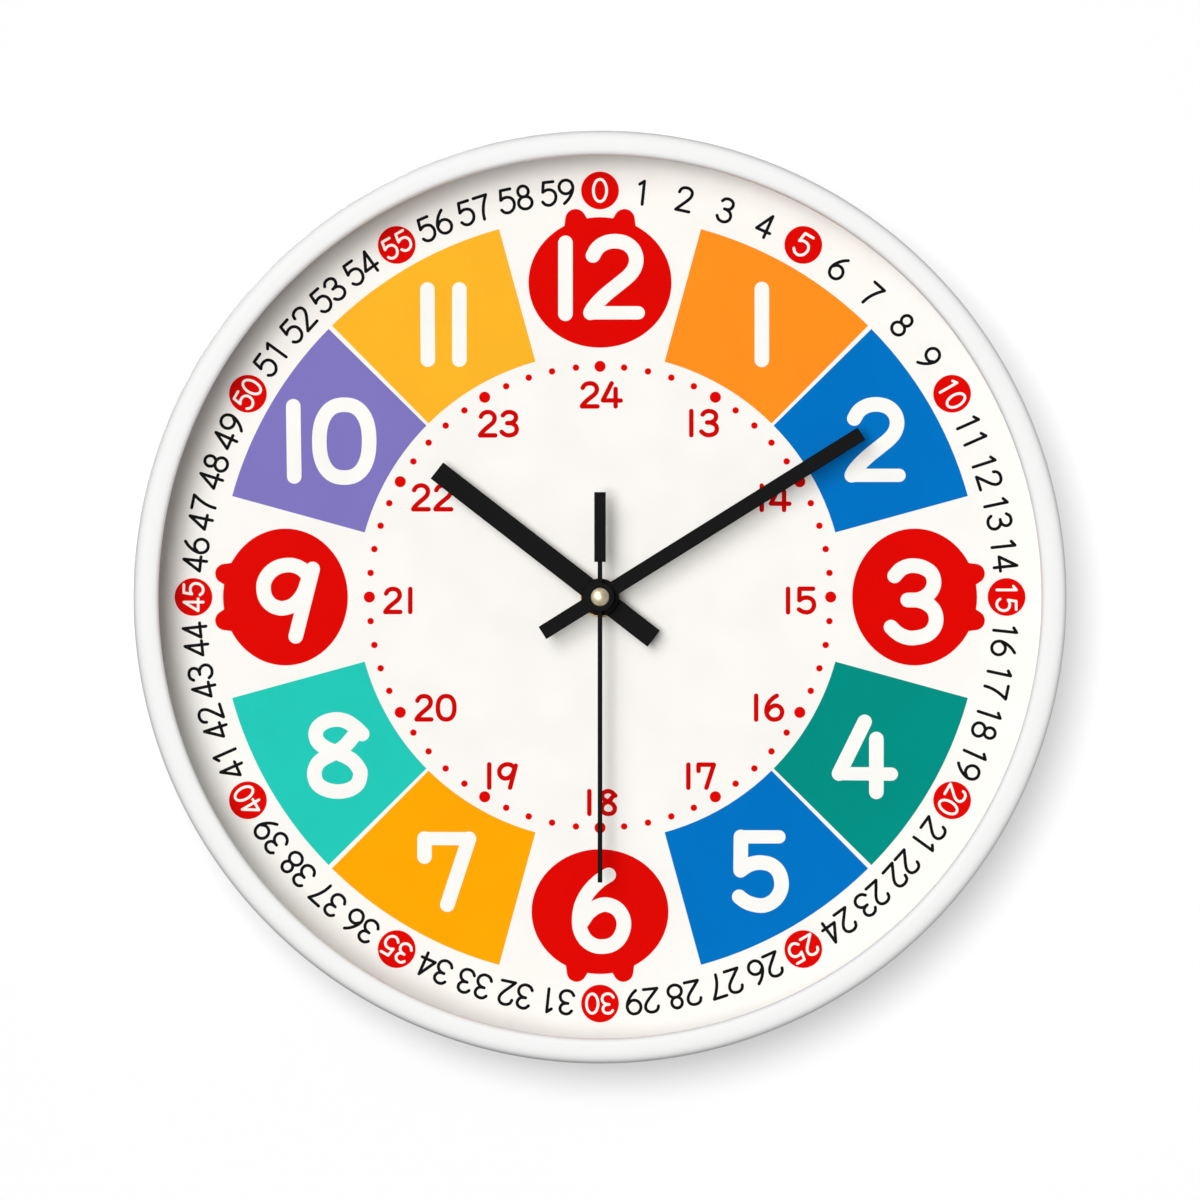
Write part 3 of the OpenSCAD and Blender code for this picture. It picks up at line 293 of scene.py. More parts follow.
def clear(name):
    """The flat lens: it lets light straight through and mirrors only at a slant."""
    t = Tree(name)
    facing = t.add("LayerWeight")
    facing.inputs["Blend"].default_value = 0.25
    smear = t.noise(22, 4)
    slant = t.math("POWER", facing.outputs["Facing"], 3.0)
    fac = t.math("ADD", t.math("MULTIPLY", slant, 0.6), 0.0015, clamp=True)
    see = t.add("BsdfTransparent")
    see.inputs["Color"].default_value = (0.995, 0.996, 0.995, 1)
    t.set(Base_Color=(0.02, 0.022, 0.022, 1), Specular_IOR_Level=1.0)
    t.join(t.range(smear, 0.02, 0.07), t.shader.inputs["Roughness"])
    mixer = t.add("MixShader")
    t.join(fac, mixer.inputs[0])
    t.join(see.outputs[0], mixer.inputs[1])
    t.join(t.shader.outputs[0], mixer.inputs[2])
    t.join(mixer.outputs[0], t.output.inputs["Surface"])
    return t.material


def cell_sleeve(name):
    """A plain two-tone sleeve: dark for most of its length, copper at the plus end, bare steel
    on the ends and the stud."""
    t = Tree(name)
    low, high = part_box("battery_cell")
    copper_from, half_line = high[0] - 13 * MM, 0.25 * MM
    minus_rim, plus_rim, rim_r = low[0] + 0.35 * MM, high[0] - 1.45 * MM, 6.7 * MM
    split = t.add("SeparateXYZ")
    t.join(t.where, split.inputs[0])
    x = split.outputs["X"]
    off_y = t.math("SUBTRACT", split.outputs["Y"], (low[1] + high[1]) / 2)
    off_z = t.math("SUBTRACT", split.outputs["Z"], (low[2] + high[2]) / 2)
    r = t.math("SQRT", t.math("ADD", t.math("POWER", off_y, 2.0), t.math("POWER", off_z, 2.0)))
    is_copper = t.math("GREATER_THAN", x, copper_from)
    line = t.math("LESS_THAN", t.math("ABSOLUTE", t.math("SUBTRACT", x, copper_from)), half_line)
    wear = t.noise(300, 4, (1, 6, 6))
    dark = t.mix(t.range(wear, 0, 1), (0.018, 0.02, 0.024), (0.035, 0.037, 0.042))
    gold = t.mix(t.range(wear, 0, 1), (0.62, 0.3, 0.12), (0.72, 0.38, 0.17))
    sleeve = t.mix(line, t.mix(is_copper, dark, gold), (0.75, 0.75, 0.73))
    end = t.math("MAXIMUM", t.math("LESS_THAN", x, minus_rim),
                 t.math("MULTIPLY", t.math("GREATER_THAN", x, plus_rim),
                        t.math("LESS_THAN", r, rim_r)))
    t.join(t.mix(end, sleeve, (0.62, 0.62, 0.6)), t.shader.inputs["Base Color"])
    t.join(t.math("MULTIPLY", end, 0.95), t.shader.inputs["Metallic"])
    t.join(t.range(wear, 0.24, 0.36), t.shader.inputs["Roughness"])
    t.set(Coat_Weight=0.4, Coat_Roughness=0.1)
    t.bump(wear, 0.1, 0.00002)
    return t.material


def winding(name):
    """Enamelled wire laid turn beside turn along the coil, which stands upright."""
    t = Tree(name)
    wave = t.add("TexWave", bands_direction="Z")
    wave.inputs["Scale"].default_value = 3200
    wave.inputs["Distortion"].default_value = 1.2
    wave.inputs["Detail Scale"].default_value = 60
    t.join(t.where, wave.inputs["Vector"])
    # The colour follows the bump, from dark copper in the grooves between turns to bright copper on
    # their crests: painted shade and painted highlight of the round wire
    t.join(t.mix(wave.outputs["Fac"], (0.28, 0.07, 0.02), (0.78, 0.3, 0.1)),
           t.shader.inputs["Base Color"])
    t.set(Metallic=0.8, Roughness=0.28)
    t.bump(wave.outputs["Fac"], 0.6, 0.00008)
    return t.material


def laminate(name):
    """Green circuit board with tinned tracks under the lacquer."""
    t = Tree(name)
    cells = t.add("TexVoronoi", feature="DISTANCE_TO_EDGE", distance="MANHATTAN")
    cells.inputs["Scale"].default_value = 260
    t.join(t.where, cells.inputs["Vector"])
    track = t.math("LESS_THAN", cells.outputs["Distance"], 0.06)
    t.join(t.mix(track, (0.02, 0.12, 0.05), (0.05, 0.24, 0.1)), t.shader.inputs["Base Color"])
    t.join(t.range(t.noise(200), 0.25, 0.4), t.shader.inputs["Roughness"])
    t.bump(track, 0.3, 0.00004)
    return t.material


def printed(r, g, b):
    """The albedo that shows as this sRGB colour (0 to 255) on the dial in the scene's light."""
    def one(c):
        c /= 255
        return (c / 12.92 if c <= 0.04045 else ((c + 0.055) / 1.055) ** 2.4) / DIAL_LIGHT
    return one(r), one(g), one(b)


WHITE_CASE = plastic("case_white_plastic", (0.81, 0.81, 0.805), 0.5, 1400, 0.000008, 0.08, 0.012,
                     gloss=0.2)
WHITE_COVER = plastic("cover_white_plastic", (0.74, 0.74, 0.73), 0.55, 500, 0.00006, 0.3)
DIAL_SHEET = ink("dial_sheet", printed(250, 247, 242))
WHITE_INK = ink("ink_white", printed(250, 248, 243))
RED_INK = ink("ink_red_numbers", printed(208, 6, 4))
BLACK_INK = ink("ink_black_numbers", (0.007, 0.007, 0.0075))
# The hands' edge material is the same black paint made darker: painted shade on the bevels, sides
# and collars
HAND_PAINT = paint("hand_black_paint", (0.0085, 0.0085, 0.0086), 0.55)
HAND_EDGE_SHADE = paint("hand_black_edge_shade", (0.0015, 0.0015, 0.0015), 0.5)
NYLON, NICKEL = (0.8, 0.79, 0.74), (0.74, 0.73, 0.7)
BRASS, IRON = (0.78, 0.56, 0.26), (0.5, 0.51, 0.53)

MATERIALS = {
    "case_ring": WHITE_CASE,
    "lens": clear("lens_clear_plastic"),
    "spacer_ring": plastic("spacer_white_plastic", (0.7, 0.7, 0.69), 0.5, gloss=0.2),
    "dial": DIAL_SHEET,
    "print_orange": ink("ink_orange", printed(253, 144, 31)),
    "print_amber": ink("ink_amber", printed(254, 167, 3)),
    "print_yellow": ink("ink_yellow", printed(253, 182, 41)),
    "print_blue": ink("ink_blue", printed(1, 114, 194)),
    "print_green": ink("ink_green", printed(2, 142, 130)),
    "print_turquoise": ink("ink_turquoise", printed(36, 200, 183)),
    "print_purple": ink("ink_purple", printed(128, 118, 191)),
    "print_red": ink("ink_red", printed(223, 7, 2)),
    "back_cover": WHITE_COVER,
    "back_skirt": WHITE_COVER,
    "hanger_posts": WHITE_COVER,
    "hanger_plate": metal("zinc_sheet", (0.6, 0.61, 0.63), 0.38, (1, 1, 7)),
    "hanger_screws": metal("zinc_screw", (0.66, 0.67, 0.7), 0.28),
    "rubber_washer": plastic("rubber_black", (0.018, 0.018, 0.018), 0.8, 600, 0.00006, 0.3),
    # The washer's brass is the nut's brass darkened to about half: painted shade on the washer
    # under the nut
    "flat_washer": metal("brass_washer", (0.36, 0.25, 0.12), 0.36, (1, 1, 5)),
    "hex_nut": metal("brass_nut", (0.75, 0.52, 0.22), 0.25, (1, 6, 1)),
    "cap": metal("cap_champagne", (1.0, 0.87, 0.6), 0.46, (1, 1, 1), 900, 0.000004, 0.8),
    "movement_front": plastic("movement_black_plastic", (0.022, 0.022, 0.024), 0.5, 800,
                              0.00005, 0.35),
    "movement_back": plastic("movement_rear_plastic", (0.026, 0.026, 0.028), 0.55, 700,
                             0.00006, 0.4),
    "middle_plate": plastic("plate_black_plastic", (0.03, 0.03, 0.033), 0.4),
    "seconds_arbor": metal("ground_steel", (0.66, 0.67, 0.68), 0.18, (1, 9, 1), 900),
    "seconds_wheel": plastic("wheel_white_plastic", NYLON, 0.4),
    "minute_arbor": metal("turned_brass", BRASS, 0.22, (1, 8, 1), 900),
    "centre_wheel": metal("stamped_brass", BRASS, 0.3, (5, 1, 1)),
    "clutch_spring": metal("spring_steel", (0.7, 0.71, 0.73), 0.2),
    "hour_wheel": plastic("hour_wheel_plastic", (0.78, 0.77, 0.72), 0.4),
    "minute_wheel": plastic("wheel_black_plastic", (0.02, 0.02, 0.02), 0.4),
    "third_wheel": plastic("third_wheel_plastic", NYLON, 0.4),
    "fifth_wheel": plastic("fifth_wheel_plastic", NYLON, 0.4),
    "rotor_pinion": plastic("rotor_plastic", NYLON, 0.4),
    "rotor_magnet": metal("sintered_magnet", (0.17, 0.17, 0.19), 0.5),
    "stator": metal("stator_iron", IRON, 0.4, (1, 1, 6)),
    "coil_core": metal("core_iron", IRON, 0.42, (6, 1, 1)),
    "coil_bobbin": plastic("bobbin_ivory", (0.72, 0.68, 0.56), 0.45),
    "coil_winding": winding("copper_winding"),
    "circuit_board": laminate("green_laminate"),
    "quartz_crystal": metal("crystal_can", (0.8, 0.81, 0.83), 0.12, (8, 1, 1)),
    "chip_cover": plastic("potting_black", (0.008, 0.008, 0.008), 0.12, 200, 0.00003, 0.2),
    "positive_contact": metal("nickel_plus", NICKEL, 0.22, (1, 1, 6)),
    "negative_contact": metal("nickel_minus", NICKEL, 0.22, (1, 1, 6)),
    "battery_cell": cell_sleeve("plain_cell_sleeve"),
    "setting_knob": plastic("knob_white_plastic", (0.72, 0.72, 0.7), 0.45),
    "setting_pinion": plastic("setting_pinion_plastic", NYLON, 0.4),
}

for name, material in MATERIALS.items():
    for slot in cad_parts[name].material_slots:
        slot.link = "OBJECT"
        slot.material = material


# Mesh helpers. A point of the dial is (x right, y up, z out of the wall), in mm.

def to_row(x, y, z):
    return (x * MM, -z * MM, y * MM)


def make_piece(name, verts, faces, materials, body, face_material=None, smooth_angle=None,
               replaces=()):
    """Adds a piece that rides on this body. Its points are in dial coordinates, face_material
    gives the number of each face's material, and an edge sharper than smooth_angle stays so."""
    mesh = bpy.data.meshes.new(name)
    mesh.from_pydata([to_row(*v) for v in verts], [], faces)
    for m in materials:
        mesh.materials.append(m)
    if face_material:
        for p, i in zip(mesh.polygons, face_material):
            p.material_index = i
    if smooth_angle is not None:
        for p in mesh.polygons:
            p.use_smooth = True
        mesh.set_sharp_from_angle(angle=math.radians(smooth_angle))
    mesh.validate()
    mesh.update()
    piece = bpy.data.objects.new(name, mesh)
    bpy.context.scene.collection.objects.link(piece)
    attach(piece, body)
    if replaces:
        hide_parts(*replaces)
    return piece


def lathe(profile, segments):
    """Turns a closed profile of (radius, z) round the hands' axis. The profile runs so that
    its left side is inside the solid."""
    verts, faces = [], []
    n = len(profile)
    for i in range(segments):
        a = 2 * math.pi * i / segments
        verts += [(r * math.cos(a), r * math.sin(a), z) for r, z in profile]
    for i in range(segments):
        j = (i + 1) % segments
        for k in range(n):
            m = (k + 1) % n
            faces.append((i * n + k, j * n + k, j * n + m, i * n + m))
    return verts, faces


def swell(v, power):
    """A cosine or sine drawn outwards, which makes a round squarer as power rises above 2."""
    return math.copysign(abs(v) ** (2 / power), v) if abs(v) > 1e-9 else 0


def bulge(cx, cy, rx, ry, a0, a1, steps, power):
    """An arc of an oval that is flatter at its four sides than an ellipse."""
    angles = [math.radians(a0 + (a1 - a0) * i / steps) for i in range(steps + 1)]
    return [(cx + rx * swell(math.cos(a), power), cy + ry * swell(math.sin(a), power))
            for a in angles]


def arc(cx, cy, rx, ry, a0, a1, steps):
    angles = [math.radians(a0 + (a1 - a0) * i / steps) for i in range(steps + 1)]
    return [(cx + rx * math.cos(a), cy + ry * math.sin(a)) for a in angles]


# The case ring again, with the lip as one smooth curve

def make_case():
    low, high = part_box("case_ring")
    case_r = (high[0] - low[0]) / 2 / MM
    depth, lens_face = level("case_ring", 0), level("lens", 0)
    # The lip's crest stands outer in from the outside, and the side leans in by draft
    lip_w, outer, draft, wall, lip_power = 8.0, 5.2, 0.8, 2.4, 3.2
    inner = lip_w - outer
    bore, aperture = case_r - draft - wall, case_r - lip_w
    # The hollow behind the lip, and the groove for the back cover's snap barbs
    relief, barb_z, barb_h, groove, gap = 2.4, 4.2, 2.4, 0.9, 0.2
    foot_edge, seat_edge, mouth_edge = 0.25, 0.12, 0.2
    profile = [(case_r - draft - foot_edge, 0.0), (case_r - draft, foot_edge)]
    # A fine witness line where the two halves of the mould part
    witness_z, witness_h, witness_depth = depth - outer - 14.0, 0.2, 0.06
    profile += [(case_r - draft * 0.42, witness_z - witness_h),
                (case_r - draft * 0.42 - witness_depth, witness_z),
                (case_r - draft * 0.4, witness_z + witness_h)]
    profile += bulge(case_r - outer, depth - outer, outer, outer, 0, 90, 30, lip_power)
    profile += bulge(aperture + inner, depth - inner, inner, inner, 90, 180, 20, lip_power)[1:]
    profile += [(aperture, lens_face + seat_edge), (aperture + seat_edge, lens_face)]
    profile += [(bore - relief, lens_face), (bore - relief, lens_face + relief),
                (bore, lens_face + relief)]
    profile += [(bore, barb_z + barb_h + gap), (bore + groove, barb_z + barb_h + gap),
                (bore + groove, barb_z - gap), (bore, barb_z - gap)]
    profile += [(bore, mouth_edge), (bore + mouth_edge, 0.0)]
    verts, faces = lathe(profile, 360)
    return make_piece("case_moulding", verts, faces, [WHITE_CASE], "case", smooth_angle=32,
                      replaces=["case_ring"])


case = make_case()


# The washer again, hung on the bush by its play, so that only its lower edge shows

def make_washer():
    low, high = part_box("flat_washer")
    play, hole_r, bevel = 0.3, 4.25, 0.06
    outer = (high[0] - low[0]) / 2 / MM - play
    back, front = level("flat_washer", 1), level("flat_washer", 0)
    profile = [(hole_r, back), (outer - bevel, back), (outer, back + bevel),
               (outer, front - bevel), (outer - bevel, front), (hole_r, front)]
    verts, faces = lathe(profile, 120)
    verts = [(x, y - play, z) for x, y, z in verts]
    make_piece("brass_washer", verts, faces, [MATERIALS["flat_washer"]], "case",
               smooth_angle=32, replaces=["flat_washer"])


make_washer()


# Flat forms as unions of ribbons and discs

def curve_part(a, b, c, d, step):
    """Points of the Catmull-Rom curve through a, b, c and d: from b up to c, without c."""
    n = max(2, int((c - b).length / step))
    out = []
    for k in range(n):
        t = k / n
        out.append(0.5 * (2 * b + (c - a) * t + (2 * a - 5 * b + 4 * c - d) * t * t
                          + (3 * b - a - 3 * c + d) * t ** 3))
    return out


def smooth_line(points, step):
    """An open curve through the points."""
    if len(points) < 3:
        return list(points)
    p = [Vector(q) for q in points]
    p = [2 * p[0] - p[1], *p, 2 * p[-1] - p[-2]]
    out = []
    for four in zip(p, p[1:], p[2:], p[3:]):
        out += curve_part(*four, step)
    return [tuple(q) for q in out] + [tuple(p[-2])]


def smooth_ring(points, step):
    """A closed curve through the points. Its first point isn't repeated."""
    p = [Vector(q) for q in points]
    out, n = [], len(p)
    for i in range(n):
        out += curve_part(p[i - 1], p[i], p[(i + 1) % n], p[(i + 2) % n], step)
    return [tuple(q) for q in out]


def ribbon(points, width, closed=False):
    """Polygons that together cover a line of this width. An open line has round ends."""
    p = [Vector(q) for q in points]
    n, h, polygons, edge = len(p), width / 2, [], []
    for i in range(n):
        before = p[i - 1] if closed or i else p[i]
        after = p[(i + 1) % n] if closed or i < n - 1 else p[i]
        d = (after - before).normalized()
        side = h * Vector((-d.y, d.x))
        edge.append((p[i] + side, p[i] - side))
    for i in range(n if closed else n - 1):
        (left, right), (next_left, next_right) = edge[i], edge[(i + 1) % n]
        polygons.append([left, right, next_right, next_left])
    if not closed:
        sides = 20
        for end in (p[0], p[-1]):
            polygons.append([end + h * Vector((math.cos(2 * math.pi * k / sides),
                                               math.sin(2 * math.pi * k / sides)))
                             for k in range(sides)])
    return polygons


def union(polygons):
    """The polygons' union: its points, its triangles, which all turn the same way, and its
    border edges as the triangles pass them."""
    verts, faces, known = [], [], {}
    for polygon in polygons:
        face = []
        for q in polygon:
            key = (round(q[0], 5), round(q[1], 5))
            if key not in known:
                known[key] = len(verts)
                verts.append(Vector(key))
            if not face or face[-1] != known[key]:
                face.append(known[key])
        if len(set(face)) > 2:
            faces.append(face)
    v, _, f, _, _, origin = delaunay_2d_cdt(verts, [], faces, 1, 1e-5)
    kept = []
    for t, o in zip(f, origin):
        if not o:
            continue
        a, b, c = (v[i] for i in t[:3])
        area = (b - a).cross(c - a)
        if abs(area) < 1e-9:
            continue
        kept.append(tuple(t) if area > 0 else tuple(reversed(t)))
    edges = dict.fromkeys((t[i], t[(i + 1) % len(t)]) for t in kept for i in range(len(t)))
    border = [(a, b) for a, b in edges if (b, a) not in edges]
    return [tuple(q) for q in v], kept, border


class Sheet:
    """A thin flat piece of print that collects many shapes."""

    def __init__(self, name, material, z0, z1):
        self.name, self.material, self.z0, self.z1 = name, material, z0, z1
        self.verts, self.faces = [], []

    def add(self, shape, place):
        """Adds a union() result, each of whose points place() moves to (x, y) on the dial. The
        shape is drawn with y down, so its triangles turn the other way there."""
        v, triangles, border = shape
        base, n = len(self.verts), len(v)
        on_sheet = [place(q) for q in v]
        for z in (self.z1, self.z0):
            self.verts += [(x, y, z) for x, y in on_sheet]
        self.faces += [tuple(base + i for i in reversed(t)) for t in triangles]
        self.faces += [tuple(base + n + i for i in t) for t in triangles]
        self.faces += [(base + a, base + b, base + b + n, base + a + n) for a, b in border]

    def finish(self):
        # Points that no face uses are dropped
        used = sorted({i for f in self.faces for i in f})
        new = {old: i for i, old in enumerate(used)}
        make_piece(self.name, [self.verts[i] for i in used],
                   [tuple(new[i] for i in f) for f in self.faces], [self.material], "case")


def placer(centre, turn=0.0):
    """Moves a glyph, drawn in pixels with y down, to its place on the dial: centre in mm."""
    c, s = math.cos(math.radians(turn)), math.sin(math.radians(turn))

    def place(q):
        x, y = q[0] / PX, -q[1] / PX
        return centre[0] + c * x + s * y, centre[1] - s * x + c * y
    return place


def on_dial(px, py):
    return (px - PHOTO_CENTRE[0]) / PX, (PHOTO_CENTRE[1] - py) / PX


# The rounded numerals, as centre lines in pixels from each glyph's middle. A stroke is its
# points and whether they lie on a curve: False, True, or "ring" for a closed one.
ROUND_GLYPHS = {
    "0": [(bulge(0, 0, 25, 36.6, 0, 345, 23, 2.35), "ring")],
    "1": [([(0, -36.3), (0, 35)], False)],
    "2": [([(-21.2, -23.2), (-16.5, -30.8), (-8.5, -35.9), (1.5, -37.4), (11.5, -35.2),
            (18.8, -29), (21.8, -20), (20, -10.8), (14.5, -3.2), (5, 4.8), (-6.5, 14), (-16, 23),
            (-21.5, 29.7), (-23.7, 33.8)], True), ([(-23.7, 33.8), (23.8, 33.8)], False)],
    "3": [([(-17.7, -25.2), (-12, -31.5), (-5, -34.8), (1.5, -35.5), (10.5, -33.8), (18.8, -28.4),
            (21.8, -20.2), (20.3, -12.2), (14.3, -5), (5, -1.2), (-4.5, -1)], True),
          ([(-4.5, -1), (5, -0.8), (14, 2.2), (21.3, 8.5), (24, 17.3), (22, 26.5), (14.5, 34),
            (0.3, 37.2), (-10, 35), (-17, 30.5), (-21.3, 26.2)], True)],
    "4": [([(0.2, -42.7), (-25.5, 9.3), (27.1, 9.8)], False), ([(12, -25.5), (12, 27.7)], False)],
    "5": [([(18.2, -33.2), (-20, -33.2), (-20.3, 0.4)], False),
          ([(-20.3, 0.3), (-13.5, -4.3), (-6.5, -6.8), (0.8, -7.3), (10, -5.2), (17.5, 1.5),
            (20.7, 12), (19.5, 21.5), (14, 30), (6, 34.8), (-2, 35.7), (-12, 33.3), (-18, 30),
            (-21.7, 27)], True)],
    "6": [([(8.2, -25), (0, -19.8), (-8, -12.5), (-14.5, -4), (-19.5, 7), (-21.4, 20), (-20, 31),
            (-14.5, 40.5), (-6.5, 45.8), (2, 47), (11.5, 45), (19, 38.5), (23.2, 28),
            (22.5, 18), (17, 9.5), (9, 5.4), (2, 5), (-6, 8.2), (-13, 14), (-18.5, 22)], True)],
    "7": [([(-21.7, -14.3), (-21.7, -32.5), (23, -32.3), (1.2, 34)], False)],
    "8": [([(25.7, -21.5), (19, -28), (10, -34), (0, -36.1), (-11, -33.8), (-18.8, -28),
            (-21, -21), (-18.5, -13.5), (-11, -7.5), (-1, -3.3), (9, 1), (17, 6), (22.8, 14),
            (24, 18.2), (21.5, 28), (13, 34.3), (1, 36.3), (-11, 34), (-19.5, 28), (-22.3, 18.2),
            (-19.5, 9), (-13, 3), (-3, -2), (8, -9), (18, -20.5)], True)],
    "9": [([(22.5, -24), (15, -31.2), (8, -34.3), (0.7, -35.1), (-9, -33), (-17.5, -27),
            (-22.5, -18.5), (-23.3, -11), (-21.5, -2.5), (-16, 4.5), (-9, 7.8), (-3, 8.2),
            (5, 5.8), (12, 0), (17.5, -8.5), (21, -19)], True), ([(26, -31.2), (9, 36.5)], False)],
}

# The thin numerals of the minute ring, in the same way
THIN_GLYPHS = {
    "0": [(arc(0, 0, 6.9, 11.65, 0, 345, 23), "ring")],
    "1": [([(-3.6, -8.2), (0.8, -11.65), (0.8, 11.65)], False)],
    "2": [([(-6.5, -6.3), (-5.4, -9.4), (-3, -11.2), (0.1, -11.75), (3.4, -11.1), (5.8, -9),
            (6.5, -6), (5.6, -2.8), (3.2, 0.6), (-1.2, 5.4), (-6.7, 11.5)], True),
          ([(-6.7, 11.55), (6.9, 11.55)], False)],
    "3": [([(-6, -8.2), (-3.6, -10.9), (0, -11.75), (3.5, -10.7), (5.5, -8.3), (5.6, -5.2),
            (3.8, -2.3), (0.6, -1.1), (-1.6, -1)], True),
          ([(-1.6, -1), (2, -0.6), (5.2, 1.4), (6.8, 5), (5.9, 8.8), (3, 11.2), (-0.6, 11.75),
            (-4.4, 10.4), (-6.7, 7.4)], True)],
    "4": [([(3.2, 11.65), (3.2, -11.4), (-7.2, 5.6), (7.2, 5.6)], False)],
    "5": [([(5.6, -11.5), (-4.2, -11.5), (-5.7, -1.9)], False),
          ([(-5.7, -1.9), (-2.6, -3.5), (0.8, -3.8), (4.4, -2.5), (6.6, 0.6), (6.9, 4.4),
            (5.4, 8.4), (2.3, 11), (-1, 11.75), (-4.6, 10.5), (-6.8, 7.8)], True)],
    "6": [([(3.2, -11.6), (-0.6, -8.4), (-4, -4), (-6.3, 0.8), (-6.8, 4.9), (-5.4, 9),
            (-2.4, 11.3), (0.4, 11.7), (3.6, 10.8), (6, 8.2), (6.9, 4.9), (6, 1.4), (3.4, -1.2),
            (0.2, -2), (-3, -1.2), (-5.6, 1.4)], True)],
    "7": [([(-6.6, -11.5), (6.6, -11.5)], False),
          ([(6.6, -11.5), (3, -5.6), (0.2, 0.6), (-1.4, 6.4), (-2, 11.65)], True)],
    "8": [(arc(0, -6.15, 5.3, 5.5, 0, 340, 17), "ring"),
          (arc(0, 5.4, 6.8, 6.25, 0, 340, 17), "ring")],
}
THIN_GLYPHS["9"] = [([(-x, -y) for x, y in points], curved)
                    for points, curved in THIN_GLYPHS["6"]]


def draw_glyph(strokes, width, bar_width=None, step=2.0):
    """The strokes as one flat shape. Level straight strokes can have a width of their own."""
    polygons = []
    for points, curved in strokes:
        if curved == "ring":
            polygons += ribbon(smooth_ring(points, step), width, closed=True)
        elif curved:
            polygons += ribbon(smooth_line(points, step), width)
        else:
            for a, b in zip(points, points[1:]):
                flat = abs(b[1] - a[1]) < 0.1 * abs(b[0] - a[0])
                polygons += ribbon([a, b], bar_width if flat and bar_width else width)
    return union(polygons)


def extent(strokes):
    xs = [x for points, _ in strokes for x, _ in points]
    ys = [y for points, _ in strokes for _, y in points]
    return min(xs), max(xs), min(ys), max(ys)


def fitted(strokes, x0, x1, y0, y1):
    """The strokes stretched so that their centre lines fill this box."""
    a0, a1, b0, b1 = extent(strokes)

    def fit(v, low, high, to_low, to_high):
        return to_low + (v - low) * (to_high - to_low) / (high - low)
    return [([(fit(x, a0, a1, x0, x1), fit(y, b0, b1, y0, y1)) for x, y in points], curved)
            for points, curved in strokes]


def moved(strokes, dx, dy, k=1.0):
    return [([(x * k + dx, y * k + dy) for x, y in points], curved) for points, curved in strokes]


# The print is laid on the dial's face or on the coloured inks, and is FILM thick
DIAL_FACE = level("dial", 0)
INK_FACE = level("print_red", 0)
FILM = 0.05
white_hours = Sheet("hour_numbers", WHITE_INK, INK_FACE, INK_FACE + FILM)
red_hours = Sheet("afternoon_numbers", RED_INK, DIAL_FACE, DIAL_FACE + FILM)
black_minutes = Sheet("minute_numbers", BLACK_INK, DIAL_FACE, DIAL_FACE + FILM)
white_minutes = Sheet("badge_numbers", WHITE_INK, INK_FACE, INK_FACE + FILM)

# Each hour's middle in the photograph's pixels, and the widths of its strokes
HOUR_PEN, HOUR_BAR = 14.6, 13.3
HOURS = {
    "1": (763, 325), "2": (877, 442), "3": (914, 602), "4": (866, 766), "5": (762, 872),
    "6": (601, 902), "7": (446, 873), "8": (336, 757), "9": (286, 601), "10": (330, 440),
    "11": (442, 325), "12": (602, 283),
}
for text, (px, py) in HOURS.items():
    if text == "10":
        strokes = [([(-37.5, -33.6), (-36.5, 37)], False)]
        strokes += moved(ROUND_GLYPHS["0"], 13.7, 1.5)
    elif text == "11":
        strokes = [([(-14.8, -35.8), (-14.3, 34.7)], False), ([(17.3, -35.8), (17.3, 34.7)], False)]
    elif text == "12":
        strokes = [([(-36.2, -40.6), (-36.2, 30.6)], False)]
        strokes += moved(ROUND_GLYPHS["2"], 12.9, -4.5, 1.01)
    else:
        strokes = ROUND_GLYPHS[text]
    white_hours.add(draw_glyph(strokes, HOUR_PEN, HOUR_BAR), placer(on_dial(px, py)))
white_hours.finish()

# Each afternoon number: its middle, its lowest and highest y, and the x range of each digit,
# or the middle of a "1"
AFTERNOON = {
    "24": (601, 395, -13.9, 13.9, (-21, -0.7), (0.1, 22.6)),
    "13": (703, 423, -14, 14.8, -10.8, (-3, 17.1)),
    "14": (777, 499, -15.2, 13.9, -14.1, (-7.1, 15.9)),
    "15": (800, 601, -13.6, 14.7, -10.7, (-2.1, 17.7)),
    "16": (768, 709, -14.2, 14.3, -10.7, (-2.7, 17.6)),
    "17": (700, 775, -11, 16.8, -10.8, (-2.9, 17.1)),
    "18": (602, 804, -13.4, 14.1, -12.2, (-2, 16.2)),
    "19": (500, 776, -12.3, 15.7, -10.7, (-2.9, 18.2)),
    "20": (435, 709, -13.8, 14.2, (-21, -1.6), (0.4, 21.6)),
    "21": (399, 602, -14.4, 13.3, (-16.4, 3.3), 11),
    "22": (432, 500, -16.3, 12.2, (-21.3, -1.3), (0.9, 21.4)),
    "23": (499, 424, -14, 14, (-21.2, -1.4), (0.4, 20.2)),
}
# The width of their strokes, in pixels
PEN = 4.6
for text, (px, py, y0, y1, *spans) in AFTERNOON.items():
    strokes = []
    for digit, span in zip(text, spans):
        if digit == "1":
            strokes += [([(span, y0 + PEN / 2), (span, y1 - PEN / 2)], False)]
        else:
            strokes += fitted(ROUND_GLYPHS[digit], span[0] + PEN / 2, span[1] - PEN / 2,
                              y0 + PEN / 2, y1 - PEN / 2)
    red_hours.add(draw_glyph(strokes, PEN, step=1.0), placer(on_dial(px, py)))
red_hours.finish()

